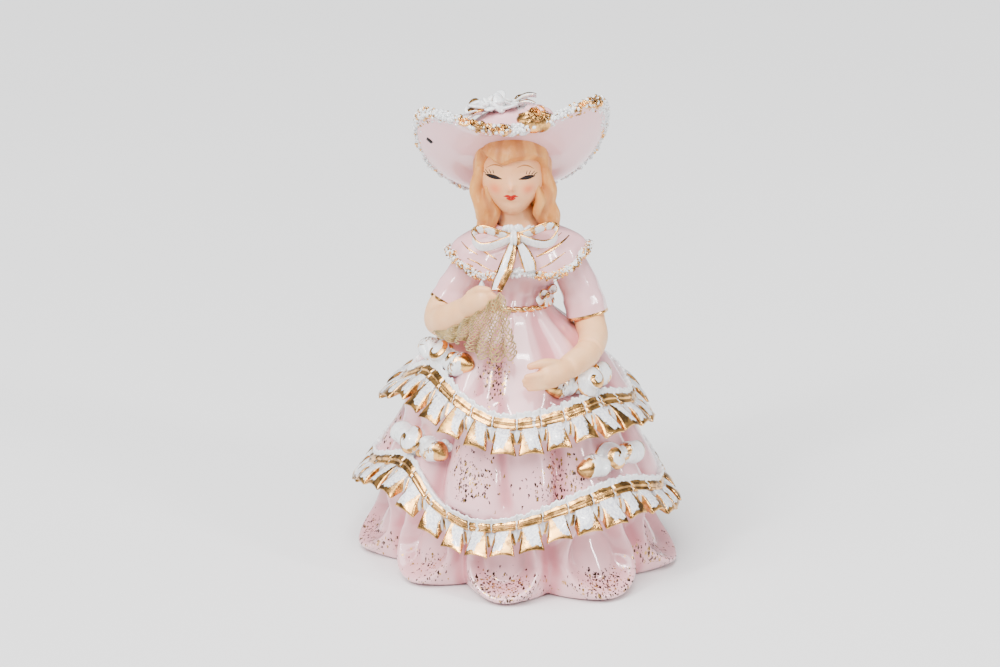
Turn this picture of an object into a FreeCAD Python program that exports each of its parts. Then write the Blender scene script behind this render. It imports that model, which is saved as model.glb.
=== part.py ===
"""Porcelain figurine bell: a lady whose hollow skirt is the bell.

Millimetres, +Z up, origin at the middle of the foot rim. The figure faces -Y, so her
right side is at -X and her left side at +X. Angles round the bell are measured from
the front (-Y) towards +X.
"""
import FreeCAD, Part
import math
import os

import Sketcher
from FreeCAD import Placement, Rotation, Vector

doc = FreeCAD.newDocument("PorcelainBell")
sheet = doc.addObject("Spreadsheet::Sheet", "Sizes")

# ---------------------------------------------------------------- driving sizes
SIZES = {
    # bell shell
    "bell_wall": 2.8,
    "lobe_count": 9,
    "lobe_phase": -6,
    "lobe_softness": 0.12,
    "inner_flute_share": 0.9,
    "oval_share": 0.085,
    "oval_angle": 52,
    "oval_top": 70,
    # bodice
    "bodice_wall": 2.6,
    "bodice_inner_drop": 1.1,
    "capelet_wall": 1.3,
    "capelet_edge_wall": 0.9,
    "capelet_neck_wall": 1.6,
    "capelet_trim_radius": 1.3,
    "waist_band_thick": 1.6,
    "waist_band_wide": 9.5,
    "waist_band_deep": 8.9,
    "waist_band_height": 71.6,
    "waist_bow_thick": 1.4,
    # head and hair
    "head_half_width": 8.2,
    "head_half_depth": 9.0,
    "head_half_height": 10.2,
    "hair_half_width": 10.6,
    "hair_half_depth": 11.0,
    "hair_half_height": 11.2,
    "lock_half_width": 3.2,
    "lock_half_depth": 3.6,
    "lock_half_height": 7.6,
    "face_half_width": 7.4,
    "face_half_height": 8.8,
    "face_cut_depth": 12,
    # hat
    "crown_half_width": 14.5,
    "crown_half_height": 14,
    "hat_tilt": 37,
    "brim_thick": 1.8,
    "brim_inner_radius": 13.2,
    "brim_sag": 1.5,
    "rim_half_width": 25.6,
    "rim_half_depth": 15.5,
    "rim_front_rise": 12.6,
    "rim_side_curl": 6.2,
    "rim_ripple": 1.7,
    "rim_left_lift": 1.7,
    "rose_half_width": 4.1,
    "rose_half_depth": 3.6,
    "rose_half_height": 3.0,
    "trim_radius": 1.4,
    "flower_radius": 4.6,
    "flower_thick": 1.8,
    # neck bow
    "bow_loop_half_length": 5.0,
    "bow_loop_half_height": 2.3,
    "bow_loop_band": 0.9,
    "bow_loop_width": 3.0,
    "knot_radius": 1.9,
    "ribbon_width": 3.4,
    "ribbon_thick": 1.1,
    "ribbon_long": 15.5,
    "ribbon_short": 8.0,
    # hands
    "thumb_half_length": 2.6,
    "thumb_half_thick": 1.2,
    # ruffles
    "band_high": 2.8,
    "band_proud": 1.5,
    "sink": 0.4,
    "upper_tab_count": 30,
    "lower_tab_count": 36,
    "tab_gap": 0.5,
    "tab_drop": 6.6,
    "tab_root_share": 0.62,
    "tab_root_inner": 0.2,
    "tab_root_proud": 0.4,
    "tab_rim_inner": 1.0,
    "tab_rim_proud": 7.0,
    # flower sprays
    "bud_half_length": 3.3,
    "bud_half_height": 2.1,
    "bud_spread": 8.4,
    "rosette_radius": 2.8,
    "rosette_half_height": 1.9,
    "spray_pad_half_length": 9.6,
    "spray_pad_half_height": 2.8,
    "spray_pad_half_thick": 1.2,
    # kerchief
    "lace_thick": 1.2,
    # hanger and clapper
    "bar_radius": 1.5,
    "bar_length": 39,
    "bar_height": 60,
    "ring_radius": 3.2,
    "eye_radius": 1.6,
    "curl_radius": 1.3,
    "wire_radius": 0.45,
    "running_gap": 0.05,
    "bead_radius": 7.5,
    "bead_bore": 0.8,
    "bead_height": 25,
}

# Bell profile from the foot rim up: height, mean outside radius, depth of the flutes.
BELL_PROFILE = [
    (0, 40.2, 5.5),
    (1.2, 42.3, 5.5),
    (5, 43.6, 5.5),
    (10, 41.5, 4.5),
    (15, 38.6, 3.5),
    (20, 38.2, 3.0),
    (25, 38.4, 2.6),
    (30, 36.5, 2.3),
    (36, 33.3, 2.0),
    (41, 31.2, 1.8),
    (46, 30.8, 1.6),
    (51, 28.2, 1.3),
    (57, 24.2, 1.1),
    (62, 19.6, 0.8),
    (66, 14.6, 0.6),
    (69, 11.0, 0.4),
    (71.5, 9.3, 0.2),
]

# Oval stacks: height, half width, half depth, centre x, centre y.
OVALS = {
    "bodice": [
        (71.5, 9.2, 8.6, 0.0, 0.0),
        (75, 9.4, 8.0, 0.5, 0.8),
        (80, 11.4, 9.0, 0.9, 1.0),
        (85, 13.0, 9.2, 1.0, 1.2),
        (89, 11.8, 7.6, 0.9, 1.2),
        (92, 5.8, 5.4, 0.6, 1.0),
    ],
    "capelet": [
        (82.2, 18.4, 12.4, 0.7, 1.2),
        (86.5, 16.6, 10.9, 0.8, 1.2),
        (90.5, 11.5, 8.6, 0.8, 1.2),
        (93, 6.6, 6.3, 0.6, 1.0),
    ],
}

# Round limbs along their centre lines: x, y, z, radius.
LIMBS = {
    "neck": [(0.6, 1.0, 92, 4.8), (0.2, 0.9, 95, 4.3), (-0.6, 0.8, 99, 4.6)],
    "right_sleeve": [
        (-9.5, 1.5, 86.0, 4.6),
        (-12.2, 1.4, 81.0, 4.9),
        (-15.4, 0.8, 75.8, 5.1),
        (-18.6, -0.4, 70.4, 5.3),
    ],
    "left_sleeve": [
        (11.0, 1.5, 86.4, 4.7),
        (14.6, 1.2, 80.0, 5.2),
        (17.6, 0.6, 73.4, 5.6),
        (19.3, -0.6, 67.2, 5.9),
    ],
    "right_forearm": [
        (-19.6, -1.2, 69.6, 3.9),
        (-20.6, -5.2, 67.6, 4.3),
        (-17.4, -12.2, 69.8, 4.1),
        (-12.2, -17.6, 74.8, 3.3),
        (-9.2, -20.2, 78.6, 3.3),
        (-4.8, -22.6, 78.6, 1.8),
    ],
    "left_forearm": [
        (19.9, -2.0, 66.6, 4.0),
        (20.8, -7.2, 63.2, 4.3),
        (18.6, -15.6, 61.6, 3.9),
        (13.6, -23.0, 60.4, 3.2),
        (8.2, -27.8, 59.4, 3.4),
        (1.6, -30.8, 59.9, 1.8),
    ],
}

# Swags of the two ruffles: angle and height of each peak and dip, going round once.
UPPER_SWAG = [(-135, 51.0), (-102, 48.5), (-64, 55.2), (-3, 47.6), (46, 50.2), (86, 46.0), (132, 50.5), (180, 46.5)]
LOWER_SWAG = [(-140, 28.0), (-100, 25.0), (-58, 31.6), (-20, 20.6), (41, 28.8), (84, 22.0), (132, 28.0), (178, 21.0)]

# Sprays: angle and height of the rosette on the bell.
SPRAYS = {
    "upper_right": (-62, 59.4),
    "upper_left": (44, 55.4),
    "lower_right": (-57, 37.6),
    "lower_left": (46, 35.6),
}

HEAD_CENTRE = Vector(-1.1, 0.2, 105.6)
HAIR_CENTRE = Vector(-1.1, 1.6, 106.0)
FACE_CENTRE = Vector(-1.3, -1.0, 103.8)
LOCK_CENTRES = [Vector(-8.6, 0.2, 97.2), Vector(8.2, 0.4, 97.4)]
CROWN_CENTRE = Vector(-1.3, 1.5, 110)
RIM_CENTRE = Vector(-1.3, 2.5, 114.5)
ROSE_CENTRE = Vector(4.8, -9.6, 123.4)
FLOWER_CENTRE = Vector(-6.2, 1.0, 123.5)
LEAF_CENTRE = Vector(2.4, 1.6, 124.5)
BOW_CENTRE = Vector(-0.4, -8.4, 91.4)
WAIST_BOW_CENTRE = Vector(8.6, -5.0, 72.6)


def fill_sheet():
    """Write every driving size to the sheet as a plain number with a word alias."""
    rows = dict(SIZES)
    for level, (height, radius, flute) in enumerate(BELL_PROFILE):
        rows[f"bell_height_{level}"] = height
        rows[f"bell_radius_{level}"] = radius
        rows[f"bell_flute_{level}"] = flute
    for part, stack in OVALS.items():
        for level, (height, wide, deep, middle_x, middle_y) in enumerate(stack):
            rows[f"{part}_height_{level}"] = height
            rows[f"{part}_wide_{level}"] = wide
            rows[f"{part}_deep_{level}"] = deep
            rows[f"{part}_middle_across_{level}"] = middle_x
            rows[f"{part}_middle_back_{level}"] = middle_y
    for part, stations in LIMBS.items():
        for level, station in enumerate(stations):
            rows[f"{part}_girth_{level}"] = station[3]
    for row, (name, value) in enumerate(rows.items(), start=1):
        sheet.set(f"A{row}", name)
        sheet.set(f"B{row}", str(value))
        sheet.setAlias(f"B{row}", name)
    doc.recompute()


def size(name):
    """A driving size, read back from the sheet."""
    return float(sheet.get(name))


fill_sheet()
NODES = []


def node(piece, label):
    """Give a finished sub-part the label that names its file."""
    piece.Label = label
    NODES.append(piece)
    return piece


def bind(piece, **expressions):
    """Bind properties of a piece to expressions on the sheet's sizes."""
    for name, expression in expressions.items():
        piece.setExpression(name.replace("__", "."), expression)
    return piece


def cut(label, base, tools):
    """The base with the tools taken away."""
    result = doc.addObject("Part::Cut", label)
    result.Base = base
    result.Tool = tools if not isinstance(tools, list) else fuse(label + "_tools", tools)
    return result


def fuse(label, pieces):
    """Several solids grown into one."""
    result = doc.addObject("Part::MultiFuse", label)
    result.Shapes = pieces
    return result


def group(label, pieces):
    """Several separate solids that share one node."""
    result = doc.addObject("Part::Compound", label)
    result.Links = pieces
    return result


def computed(label, shape):
    """A piece whose shape is worked out below from sizes on the sheet."""
    result = doc.addObject("Part::Feature", label)
    result.Shape = shape
    result.Placement = Placement()
    return result


def ellipsoid(label, centre, rotation, across, along, up):
    """An ellipsoid whose half sizes along its own X, Y and Z are expressions."""
    piece = doc.addObject("Part::Ellipsoid", label)
    bind(piece, Radius2=across, Radius3=along, Radius1=up)
    piece.Placement = Placement(centre, rotation)
    return piece


# ---------------------------------------------------------------- curves and lofts
def softened_lobe(angle):
    """1 on the crest of a lobe, falling to 0 in the crease between two lobes."""
    turn = math.radians(angle - size("lobe_phase")) * size("lobe_count") / 2
    soft = size("lobe_softness")
    return math.hypot(math.cos(turn), soft) - soft


def bell_radius(angle, height, radius, flute, inset=0.0):
    """Radius of the slightly oval, fluted bell, measured in from its outside."""
    top = size("oval_top")
    oval = size("oval_share") * max(0.0, min(1.0, (top - height) / top))
    oval *= math.cos(2 * math.radians(angle - size("oval_angle")))
    share = size("inner_flute_share") if inset else 1.0
    return radius * (1 + oval) - inset - share * flute * (1 - softened_lobe(angle))


def round_bell(angle, radius, height):
    """The point at an angle round the bell's axis."""
    turn = math.radians(angle)
    return Vector(radius * math.sin(turn), -radius * math.cos(turn), height)


def bell_surface(angle, height, proud=0.0):
    """The point on the bell's outside, or a little proud of it, at any height."""
    levels = range(len(BELL_PROFILE) - 1)
    below = max(level for level in levels if size(f"bell_height_{level}") <= height)
    low = size(f"bell_height_{below}")
    share = (height - low) / (size(f"bell_height_{below + 1}") - low)
    mixed = []
    for name in ("radius", "flute"):
        first = size(f"bell_{name}_{below}")
        mixed.append(first + share * (size(f"bell_{name}_{below + 1}") - first))
    return round_bell(angle, bell_radius(angle, height, *mixed) + proud, height)


def bell_outline(level, height, inset):
    """One closed outline of the bell, eight points to a lobe."""
    count = int(size("lobe_count")) * 8
    points = []
    for step in range(count):
        angle = size("lobe_phase") + step * 360 / count
        radius = bell_radius(angle, height, size(f"bell_radius_{level}"), size(f"bell_flute_{level}"), inset)
        points.append(round_bell(angle, radius, height))
    curve = Part.BSplineCurve()
    curve.interpolate(points, PeriodicFlag=True)
    return Part.Wire([curve.toShape()])


def bell_loft(label, inset):
    """The bell's outer or inner form; the inner one runs out past both ends."""
    outlines = []
    last = len(BELL_PROFILE) - 1
    for level in range(len(BELL_PROFILE)):
        height = size(f"bell_height_{level}")
        if inset and level in (0, last):
            height += 1 if level else -1
        outlines.append(computed(f"{label}_outline_{level}", bell_outline(level, height, inset)))
    loft = doc.addObject("Part::Loft", label)
    loft.Sections = outlines
    loft.Solid = True
    return loft


def oval_stack(label, part, shrink="0", levels=None, drop="0"):
    """A loft through level ellipses whose sizes are bound to the sheet."""
    sections = []
    for level in levels or range(len(OVALS[part])):
        oval = doc.addObject("Part::Ellipse", f"{label}_oval_{level}")
        bind(
            oval,
            MajorRadius=f"Sizes.{part}_wide_{level} - {shrink}",
            MinorRadius=f"Sizes.{part}_deep_{level} - {shrink}",
            Placement__Base__x=f"Sizes.{part}_middle_across_{level}",
            Placement__Base__y=f"Sizes.{part}_middle_back_{level}",
            Placement__Base__z=f"Sizes.{part}_height_{level} - {drop}",
        )
        sections.append(oval)
    loft = doc.addObject("Part::Loft", label)
    loft.Sections = sections
    loft.Solid = True
    return loft


def limb(label, part=None):
    """A loft through circles set square to a limb's centre line."""
    part = part or label
    stations = [Vector(*station[:3]) for station in LIMBS[part]]
    sections = []
    for level, centre in enumerate(stations):
        before = stations[max(level - 1, 0)]
        after = stations[min(level + 1, len(stations) - 1)]
        circle = doc.addObject("Part::Circle", f"{label}_ring_{level}")
        bind(circle, Radius=f"Sizes.{part}_girth_{level}")
        along = after - before
        level_side = along.cross(Vector(0.3, 1, 0.2))
        circle.Placement = Placement(centre, Rotation(level_side, Vector(), along, "ZXY"))
        sections.append(circle)
    loft = doc.addObject("Part::Loft", label)
    loft.Sections = sections
    loft.Solid = True
    loft.Ruled = True
    return loft


def ring_of(profiles):
    """A closed ring through straight-sided profiles, with ruled faces between them."""
    wires = [Part.makePolygon(profile + profile[:1]) for profile in profiles]
    return Part.makeLoft(wires, True, True, True)


def rod_ring(centres, outward, radius, sides=6):
    """A ring of six-sided section round a closed line of centres."""
    profiles = []
    count = len(centres)
    for step, centre in enumerate(centres):
        along = (centres[(step + 1) % count] - centres[step - 1]).normalize()
        out = outward[step] - along * outward[step].dot(along)
        out = out.normalize()
        up = along.cross(out)
        profile = []
        for side in range(sides):
            turn = 2 * math.pi * side / sides
            profile.append(centre + out * (radius * math.cos(turn)) + up * (radius * math.sin(turn)))
        profiles.append(profile)
    return ring_of(profiles)


def swag_height(angle, swag):
    """Height of a ruffle at an angle, eased between the peaks and dips of its swags."""
    turns = [(place - 360, height) for place, height in swag] + swag
    turns += [(place + 360, height) for place, height in swag]
    for (start, low), (end, high) in zip(turns, turns[1:]):
        if start <= angle < end:
            share = (angle - start) / (end - start)
            return low + (high - low) * (1 - math.cos(math.pi * share)) / 2
    raise ValueError(angle)


# ---------------------------------------------------------------- bell and torso
def make_skirt_bell():
    """Hollow fluted skirt, open at the foot and into the bodice above."""
    outer = bell_loft("bell_outer", 0.0)
    inner = bell_loft("bell_inner", size("bell_wall"))
    node(cut("skirt_bell", outer, inner), "skirt_bell")


def make_bodice():
    """Hollow torso standing on the skirt's top edge, closed below the neck."""
    outer = oval_stack("bodice_outer", "bodice")
    inner = oval_stack("bodice_inner", "bodice", "Sizes.bodice_wall", range(5), "Sizes.bodice_inner_drop")
    node(cut("bodice", outer, inner), "bodice")


def make_waist_band():
    """Painted cord laid round the waist where skirt and bodice meet."""
    centres = []
    outward = []
    for step in range(24):
        turn = 2 * math.pi * step / 24
        out = Vector(math.cos(turn), math.sin(turn), 0)
        across = size("waist_band_wide") * out.x
        back = size("waist_band_deep") * out.y
        centres.append(Vector(across, back, size("waist_band_height")))
        outward.append(out)
    node(computed("waist_band", rod_ring(centres, outward, size("waist_band_thick") / 2)), "waist_band")


def make_waist_bow():
    """Small bow on the waist at her left side, cut flat with a narrow middle."""
    half = [(0, 0.6), (1.0, 0.6), (4.4, 1.5), (4.4, -1.5), (1.0, -0.6)]
    corners = half + [(0, -0.6)] + [(-x, z) for x, z in reversed(half[1:])]
    body = flat_piece("waist_bow", "XZ_Plane", corners, "Sizes.waist_bow_thick")
    body.Placement = Placement(WAIST_BOW_CENTRE, Rotation(Vector(0, 0, 1), 60))


# ---------------------------------------------------------------- head, hair and hat
def make_head():
    """Head and neck in one casting."""
    skull = ellipsoid(
        "skull", HEAD_CENTRE, Rotation(), "Sizes.head_half_width", "Sizes.head_half_depth", "Sizes.head_half_height"
    )
    return node(fuse("head", [skull, limb("neck")]), "head")


def make_hair(head):
    """Cap of hair with two side locks, open round the face."""
    cap = ellipsoid(
        "hair_cap", HAIR_CENTRE, Rotation(), "Sizes.hair_half_width", "Sizes.hair_half_depth", "Sizes.hair_half_height"
    )
    pieces = [cap]
    for side, centre in zip(("right", "left"), LOCK_CENTRES):
        pieces.append(
            ellipsoid(
                f"{side}_lock",
                centre,
                Rotation(),
                "Sizes.lock_half_width",
                "Sizes.lock_half_depth",
                "Sizes.lock_half_height",
            )
        )
    window = doc.addObject("Part::Ellipse", "face_outline")
    bind(window, MajorRadius="Sizes.face_half_height", MinorRadius="Sizes.face_half_width")
    window.Placement = Placement(FACE_CENTRE, Rotation(Vector(0, 1, 0), -90) * Rotation(Vector(1, 0, 0), 90))
    opening = doc.addObject("Part::Extrusion", "face_opening")
    opening.Base = window
    opening.DirMode = "Custom"
    opening.Dir = Vector(0, -1, 0)
    bind(opening, LengthFwd="Sizes.face_cut_depth")
    opening.Solid = True
    return node(cut("hair", fuse("hair_form", pieces), [head, opening]), "hair")


def rim_point(turn):
    """A point on the saddle-shaped rim of the hat; the turn runs from +X to the front."""
    across = RIM_CENTRE.x + size("rim_half_width") * math.cos(turn)
    back = RIM_CENTRE.y - size("rim_half_depth") * math.sin(turn)
    front_rise = size("rim_front_rise") * math.sin(turn) + size("rim_ripple") * math.sin(3 * turn)
    curl = size("rim_side_curl") * math.cos(2 * turn) + size("rim_left_lift") * math.cos(turn)
    return Vector(across, back, RIM_CENTRE.z + front_rise + curl)


def tilted_point(turn, reach, lift):
    """A point round the crown's tilted axis, lifted above the plane of the brim's root."""
    tilt = math.radians(size("hat_tilt"))
    forward = reach * math.sin(turn)
    across = Vector(reach * math.cos(turn), -forward * math.cos(tilt), forward * math.sin(tilt))
    return CROWN_CENTRE + across + Vector(0, math.sin(tilt), math.cos(tilt)) * lift


def brim_point(turn, share, lift):
    """A point across the brim: share 0 at its root on the crown, 1 at the rim."""
    root = tilted_point(turn, size("brim_inner_radius"), lift)
    rim = rim_point(turn) + tilted_point(turn, 0, lift) - CROWN_CENTRE
    sag = tilted_point(turn, 0, 4 * share * (1 - share) * size("brim_sag")) - CROWN_CENTRE
    return root + (rim - root) * share - sag


def closed_curve(place, count=24):
    """A smooth closed wire through points given by a function of the turn."""
    curve = Part.BSplineCurve()
    curve.interpolate([place(2 * math.pi * step / count) for step in range(count)], PeriodicFlag=True)
    return Part.Wire([curve.toShape()])


def make_hat(head, hair):
    """Wide brim curled up at the sides round a low crown, fitted over hair and head."""
    thick = size("brim_thick")
    reach = size("crown_half_width")
    rings = [Part.Vertex(tilted_point(0, 0, size("crown_half_height")))]
    for rise in (75, 50, 28):
        lift = size("crown_half_height") * math.sin(math.radians(rise))
        wide = reach * math.cos(math.radians(rise))
        rings.append(closed_curve(lambda turn: tilted_point(turn, wide, lift)))
    for share, lift in ((0.06, thick), (0.5, thick), (1.0, thick), (1.0, 0), (0.5, 0), (0, 0)):
        rings.append(closed_curve(lambda turn: brim_point(turn, share, lift)))
    rings.append(Part.Vertex(CROWN_CENTRE))
    form = computed("hat_form", Part.makeLoft(rings, True, True))
    node(cut("hat", form, [head, hair]), "hat")


def make_hat_trim():
    """Crumbed trim all round the rim."""
    centres = []
    outward = []
    count = 48
    lift = Vector(0, 0, size("brim_thick") / 2)
    for step in range(count):
        turn = 2 * math.pi * step / count
        rim = rim_point(turn)
        centres.append(rim + lift)
        outward.append(rim - tilted_point(turn, size("brim_inner_radius"), 0))
    node(computed("hat_trim", rod_ring(centres, outward, size("trim_radius"))), "hat_trim")


def make_hat_flowers():
    """Rolled rose at the front of the brim, open flower and leaves on the crown."""
    rose = ellipsoid(
        "hat_rose",
        ROSE_CENTRE,
        Rotation(Vector(1, 0, 0), 60),
        "Sizes.rose_half_width",
        "Sizes.rose_half_depth",
        "Sizes.rose_half_height",
    )
    node(rose, "hat_rose")
    petals = []
    for corner in range(20):
        turn = math.radians(18 * corner)
        reach = size("flower_radius") * (0.86 + 0.14 * math.cos(5 * turn))
        petals.append((reach * math.cos(turn), reach * math.sin(turn)))
    flower = flat_piece("hat_flower", "XY_Plane", petals, "Sizes.flower_thick")
    flower.Placement = Placement(FLOWER_CENTRE, Rotation(Vector(1, 0, 0), 12))
    leaf = [(-4.0, -0.6), (-1.5, -2.2), (2.4, -2.6), (0.6, -0.3), (5.0, 1.2), (2.2, 2.4), (-1.6, 1.8)]
    leaves = flat_piece("hat_leaves", "XY_Plane", leaf, "Sizes.flower_thick")
    leaves.Placement = Placement(LEAF_CENTRE, Rotation(Vector(0, 1, 0), -8))


# ---------------------------------------------------------------- collar and neck bow
def make_capelet():
    """Shoulder collar: a thin flared shell open at the neck."""
    outer = oval_stack("capelet_outer", "capelet")
    inner = oval_stack("capelet_inner", "capelet", "Sizes.capelet_wall")
    lowest = doc.addObject("Part::Ellipse", "capelet_below")
    bind(
        lowest,
        MajorRadius="Sizes.capelet_wide_0 - Sizes.capelet_edge_wall",
        MinorRadius="Sizes.capelet_deep_0 - Sizes.capelet_edge_wall",
        Placement__Base__x="Sizes.capelet_middle_across_0",
        Placement__Base__y="Sizes.capelet_middle_back_0",
        Placement__Base__z="Sizes.capelet_height_0 - 1",
    )
    highest = doc.addObject("Part::Ellipse", "capelet_above")
    bind(
        highest,
        MajorRadius="Sizes.capelet_wide_3 - Sizes.capelet_neck_wall",
        MinorRadius="Sizes.capelet_deep_3 - Sizes.capelet_neck_wall",
        Placement__Base__x="Sizes.capelet_middle_across_3",
        Placement__Base__y="Sizes.capelet_middle_back_3",
        Placement__Base__z="Sizes.capelet_height_3 + 1",
    )
    inner.Sections = [lowest] + inner.Sections + [highest]
    node(cut("capelet", outer, inner), "capelet")


def make_capelet_trim():
    """Crumbed trim along the collar's lower edge."""
    centres = []
    outward = []
    count = 32
    for step in range(count):
        turn = 2 * math.pi * step / count
        out = Vector(math.cos(turn), math.sin(turn), 0)
        across = size("capelet_middle_across_0") + size("capelet_wide_0") * out.x
        back = size("capelet_middle_back_0") + size("capelet_deep_0") * out.y
        centres.append(Vector(across, back, size("capelet_height_0")))
        outward.append(out)
    node(computed("capelet_trim", rod_ring(centres, outward, size("capelet_trim_radius"))), "capelet_trim")


def new_body(label, plane):
    """A PartDesign body with a sketch on one of its own origin planes."""
    body = doc.addObject("PartDesign::Body", label)
    sketch = body.newObject("Sketcher::SketchObject", label + "_outline")
    support = [item for item in body.Origin.OriginFeatures if item.Role == plane][0]
    sketch.AttachmentSupport = [(support, "")]
    sketch.MapMode = "FlatFace"
    return body, sketch


def sketch_radius(sketch, geometry, name, expression):
    """Fix the radius of a circle or arc and bind it to the sheet."""
    index = sketch.addConstraint(Sketcher.Constraint("Radius", geometry, 1.0))
    sketch.renameConstraint(index, name)
    sketch.setExpression("Constraints." + name, expression)


def padded(body, sketch, label, length):
    """Pad a sketch evenly to both sides of its plane."""
    pad = body.newObject("PartDesign::Pad", label + "_pad")
    pad.Profile = sketch
    pad.Midplane = True
    bind(pad, Length=length)
    return body


def flat_piece(label, plane, corners, thickness):
    """A flat straight-sided outline padded to a thickness from the sheet."""
    body, sketch = new_body(label, plane)
    for (x1, y1), (x2, y2) in zip(corners, corners[1:] + corners[:1]):
        sketch.addGeometry(Part.LineSegment(Vector(x1, y1, 0), Vector(x2, y2, 0)), False)
    padded(body, sketch, label, thickness)
    return node(body, label)


def make_bow_loop(label, side):
    """One loop of the neck bow: a flattened ring of ribbon."""
    body, sketch = new_body(label, "XZ_Plane")
    length = size("bow_loop_half_length")
    height = size("bow_loop_half_height")
    band = size("bow_loop_band")
    centre = Vector(side * (length + 0.8), 0, 0)
    for inset in (0.0, band):
        oval = Part.Ellipse(centre, length - inset, height - inset)
        sketch.addGeometry(oval, False)
    padded(body, sketch, label, "Sizes.bow_loop_width")
    body.Placement = Placement(BOW_CENTRE, Rotation(Vector(0, 0, 1), -12 * side))
    node(body, label)


def make_ribbon_tail(label, length, start, direction):
    """One flat end of the neck bow's ribbon."""
    half = size("ribbon_width") / 2
    corners = [(0, -half * 0.6), (size(length), -half), (size(length), half), (0, half * 0.6)]
    body = flat_piece(label, "XY_Plane", corners, "Sizes.ribbon_thick")
    turn = Rotation(direction, Vector(1, 0, 0), Vector(0, -1, 0.2), "XYZ")
    body.Placement = Placement(start, turn)


def make_neck_bow():
    """Bow at the throat with a knot, two loops and two tails."""
    make_bow_loop("bow_right_loop", -1)
    make_bow_loop("bow_left_loop", 1)
    knot = doc.addObject("Part::Sphere", "bow_knot")
    bind(knot, Radius="Sizes.knot_radius")
    knot.Placement = Placement(BOW_CENTRE, Rotation())
    node(knot, "bow_knot")
    long_start = BOW_CENTRE + Vector(-0.6, -1.6, -2.2)
    make_ribbon_tail("ribbon_long_tail", "ribbon_long", long_start, Vector(-4.2, -9.6, -10.4))
    short_start = BOW_CENTRE + Vector(1.6, -1.2, -2.0)
    make_ribbon_tail("ribbon_short_tail", "ribbon_short", short_start, Vector(2.6, -3.6, -7.4))


# ---------------------------------------------------------------- arms and kerchief
def make_arms():
    """Short sleeves and bare forearms with mitten hands."""
    for side, thumb in (("right", Vector(-9.6, -22.6, 76.6)), ("left", Vector(3.4, -28.4, 62.4))):
        node(limb(f"{side}_sleeve"), f"{side}_sleeve")
        lean = Rotation(Vector(0, 0, 1), 30 if side == "left" else -20)
        slim = "Sizes.thumb_half_thick"
        thumb_piece = ellipsoid(f"{side}_thumb", thumb, lean, "Sizes.thumb_half_length", slim, slim)
        arm = fuse(f"{side}_arm_form", [limb(f"{side}_arm", f"{side}_forearm"), thumb_piece])
        sleeve = doc.getObject(f"{side}_sleeve")
        node(cut(f"{side}_forearm", arm, sleeve), f"{side}_forearm")


def make_lace_kerchief():
    """Net handkerchief hanging under the raised hand: a plain thin slab."""
    corners = [(0, 0.4), (4, -1.2), (12, -1.6), (20.5, 0.6), (20.5, 4.8), (13.5, 3.4), (7.5, 0.8), (3, 0.8)]
    body = flat_piece("lace_kerchief", "XZ_Plane", corners, "Sizes.lace_thick")
    body.Placement = Placement(Vector(-20.8, -14.6, 66.4), Rotation(Vector(0, 0, 1), -25))


# ---------------------------------------------------------------- ruffles and sprays
def tab_outline(centre, reach, height, inner, proud):
    """Level outline of one pleat: a four-cornered piece that stands proud of the bell."""
    middle = bell_surface(centre, height, proud)
    gap = math.degrees(size("tab_gap") / 2 / math.hypot(middle.x, middle.y))
    half = reach - gap
    return Part.makePolygon(
        [
            bell_surface(centre - half, height, inner),
            bell_surface(centre - half, height, proud),
            bell_surface(centre + half, height, proud),
            bell_surface(centre + half, height, inner),
            bell_surface(centre - half, height, inner),
        ]
    )


def make_ruffle(name, swag, count):
    """A gathered header band on the bell and the row of box pleats that hangs from it."""
    stations = count * 2
    bands = []
    for step in range(stations):
        angle = -180 + 360 * step / stations
        height = swag_height(angle, swag)
        half = size("band_high") / 2
        profile = []
        for rise, proud in ((-half, -size("sink")), (-half, size("band_proud")),
                            (half, size("band_proud")), (half, -size("sink"))):
            profile.append(bell_surface(angle, height + rise, proud))
        bands.append(profile)
    node(computed(f"{name}_ruffle_band", ring_of(bands)), f"{name}_ruffle_band")

    tabs = []
    for tab in range(count):
        centre = -180 + 360 * (tab + 0.5) / count
        middle = swag_height(centre, swag)
        root = tab_outline(
            centre,
            size("tab_root_share") * 180 / count,
            middle - size("band_high") / 2,
            size("tab_root_inner"),
            size("tab_root_proud"),
        )
        rim = tab_outline(
            centre,
            180 / count,
            middle - size("tab_drop"),
            size("tab_rim_inner"),
            size("tab_rim_proud"),
        )
        tabs.append(Part.makeLoft([root, rim], True, True))
    node(computed(f"{name}_ruffle_pleats", Part.makeCompound(tabs)), f"{name}_ruffle_pleats")


def surface_turn(angle, height):
    """Rotation that lays a piece on the bell: X level, Z straight out of the surface."""
    rise = bell_surface(angle, height + 1) - bell_surface(angle, height - 1)
    level = Vector(math.cos(math.radians(angle)), math.sin(math.radians(angle)), 0)
    return Rotation(level, rise, level.cross(rise), "XZY")


def make_spray(name, angle, height):
    """Applied spray: a rosette between two buds on a thin pad of slip."""
    spread = math.degrees(size("bud_spread") / math.hypot(*bell_surface(angle, height)[:2]))
    buds = []
    for side in (-1, 1):
        place = angle + side * spread
        centre = bell_surface(place, height - 0.6, size("bud_half_height"))
        buds.append(
            ellipsoid(
                f"{name}_bud_{side + 1}",
                centre,
                surface_turn(place, height),
                "Sizes.bud_half_length",
                "Sizes.bud_half_height",
                "Sizes.bud_half_height",
            )
        )
    node(group(f"{name}_buds", buds), f"{name}_buds")
    turn = surface_turn(angle, height)
    centre = bell_surface(angle, height, size("rosette_half_height"))
    rosette = ellipsoid(
        f"{name}_rosette", centre, turn, "Sizes.rosette_radius", "Sizes.rosette_radius", "Sizes.rosette_half_height"
    )
    node(rosette, f"{name}_rosette")
    pad = ellipsoid(
        f"{name}_pad",
        bell_surface(angle, height, -0.2),
        turn,
        "Sizes.spray_pad_half_length",
        "Sizes.spray_pad_half_height",
        "Sizes.spray_pad_half_thick",
    )
    node(pad, f"{name}_pad")


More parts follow.
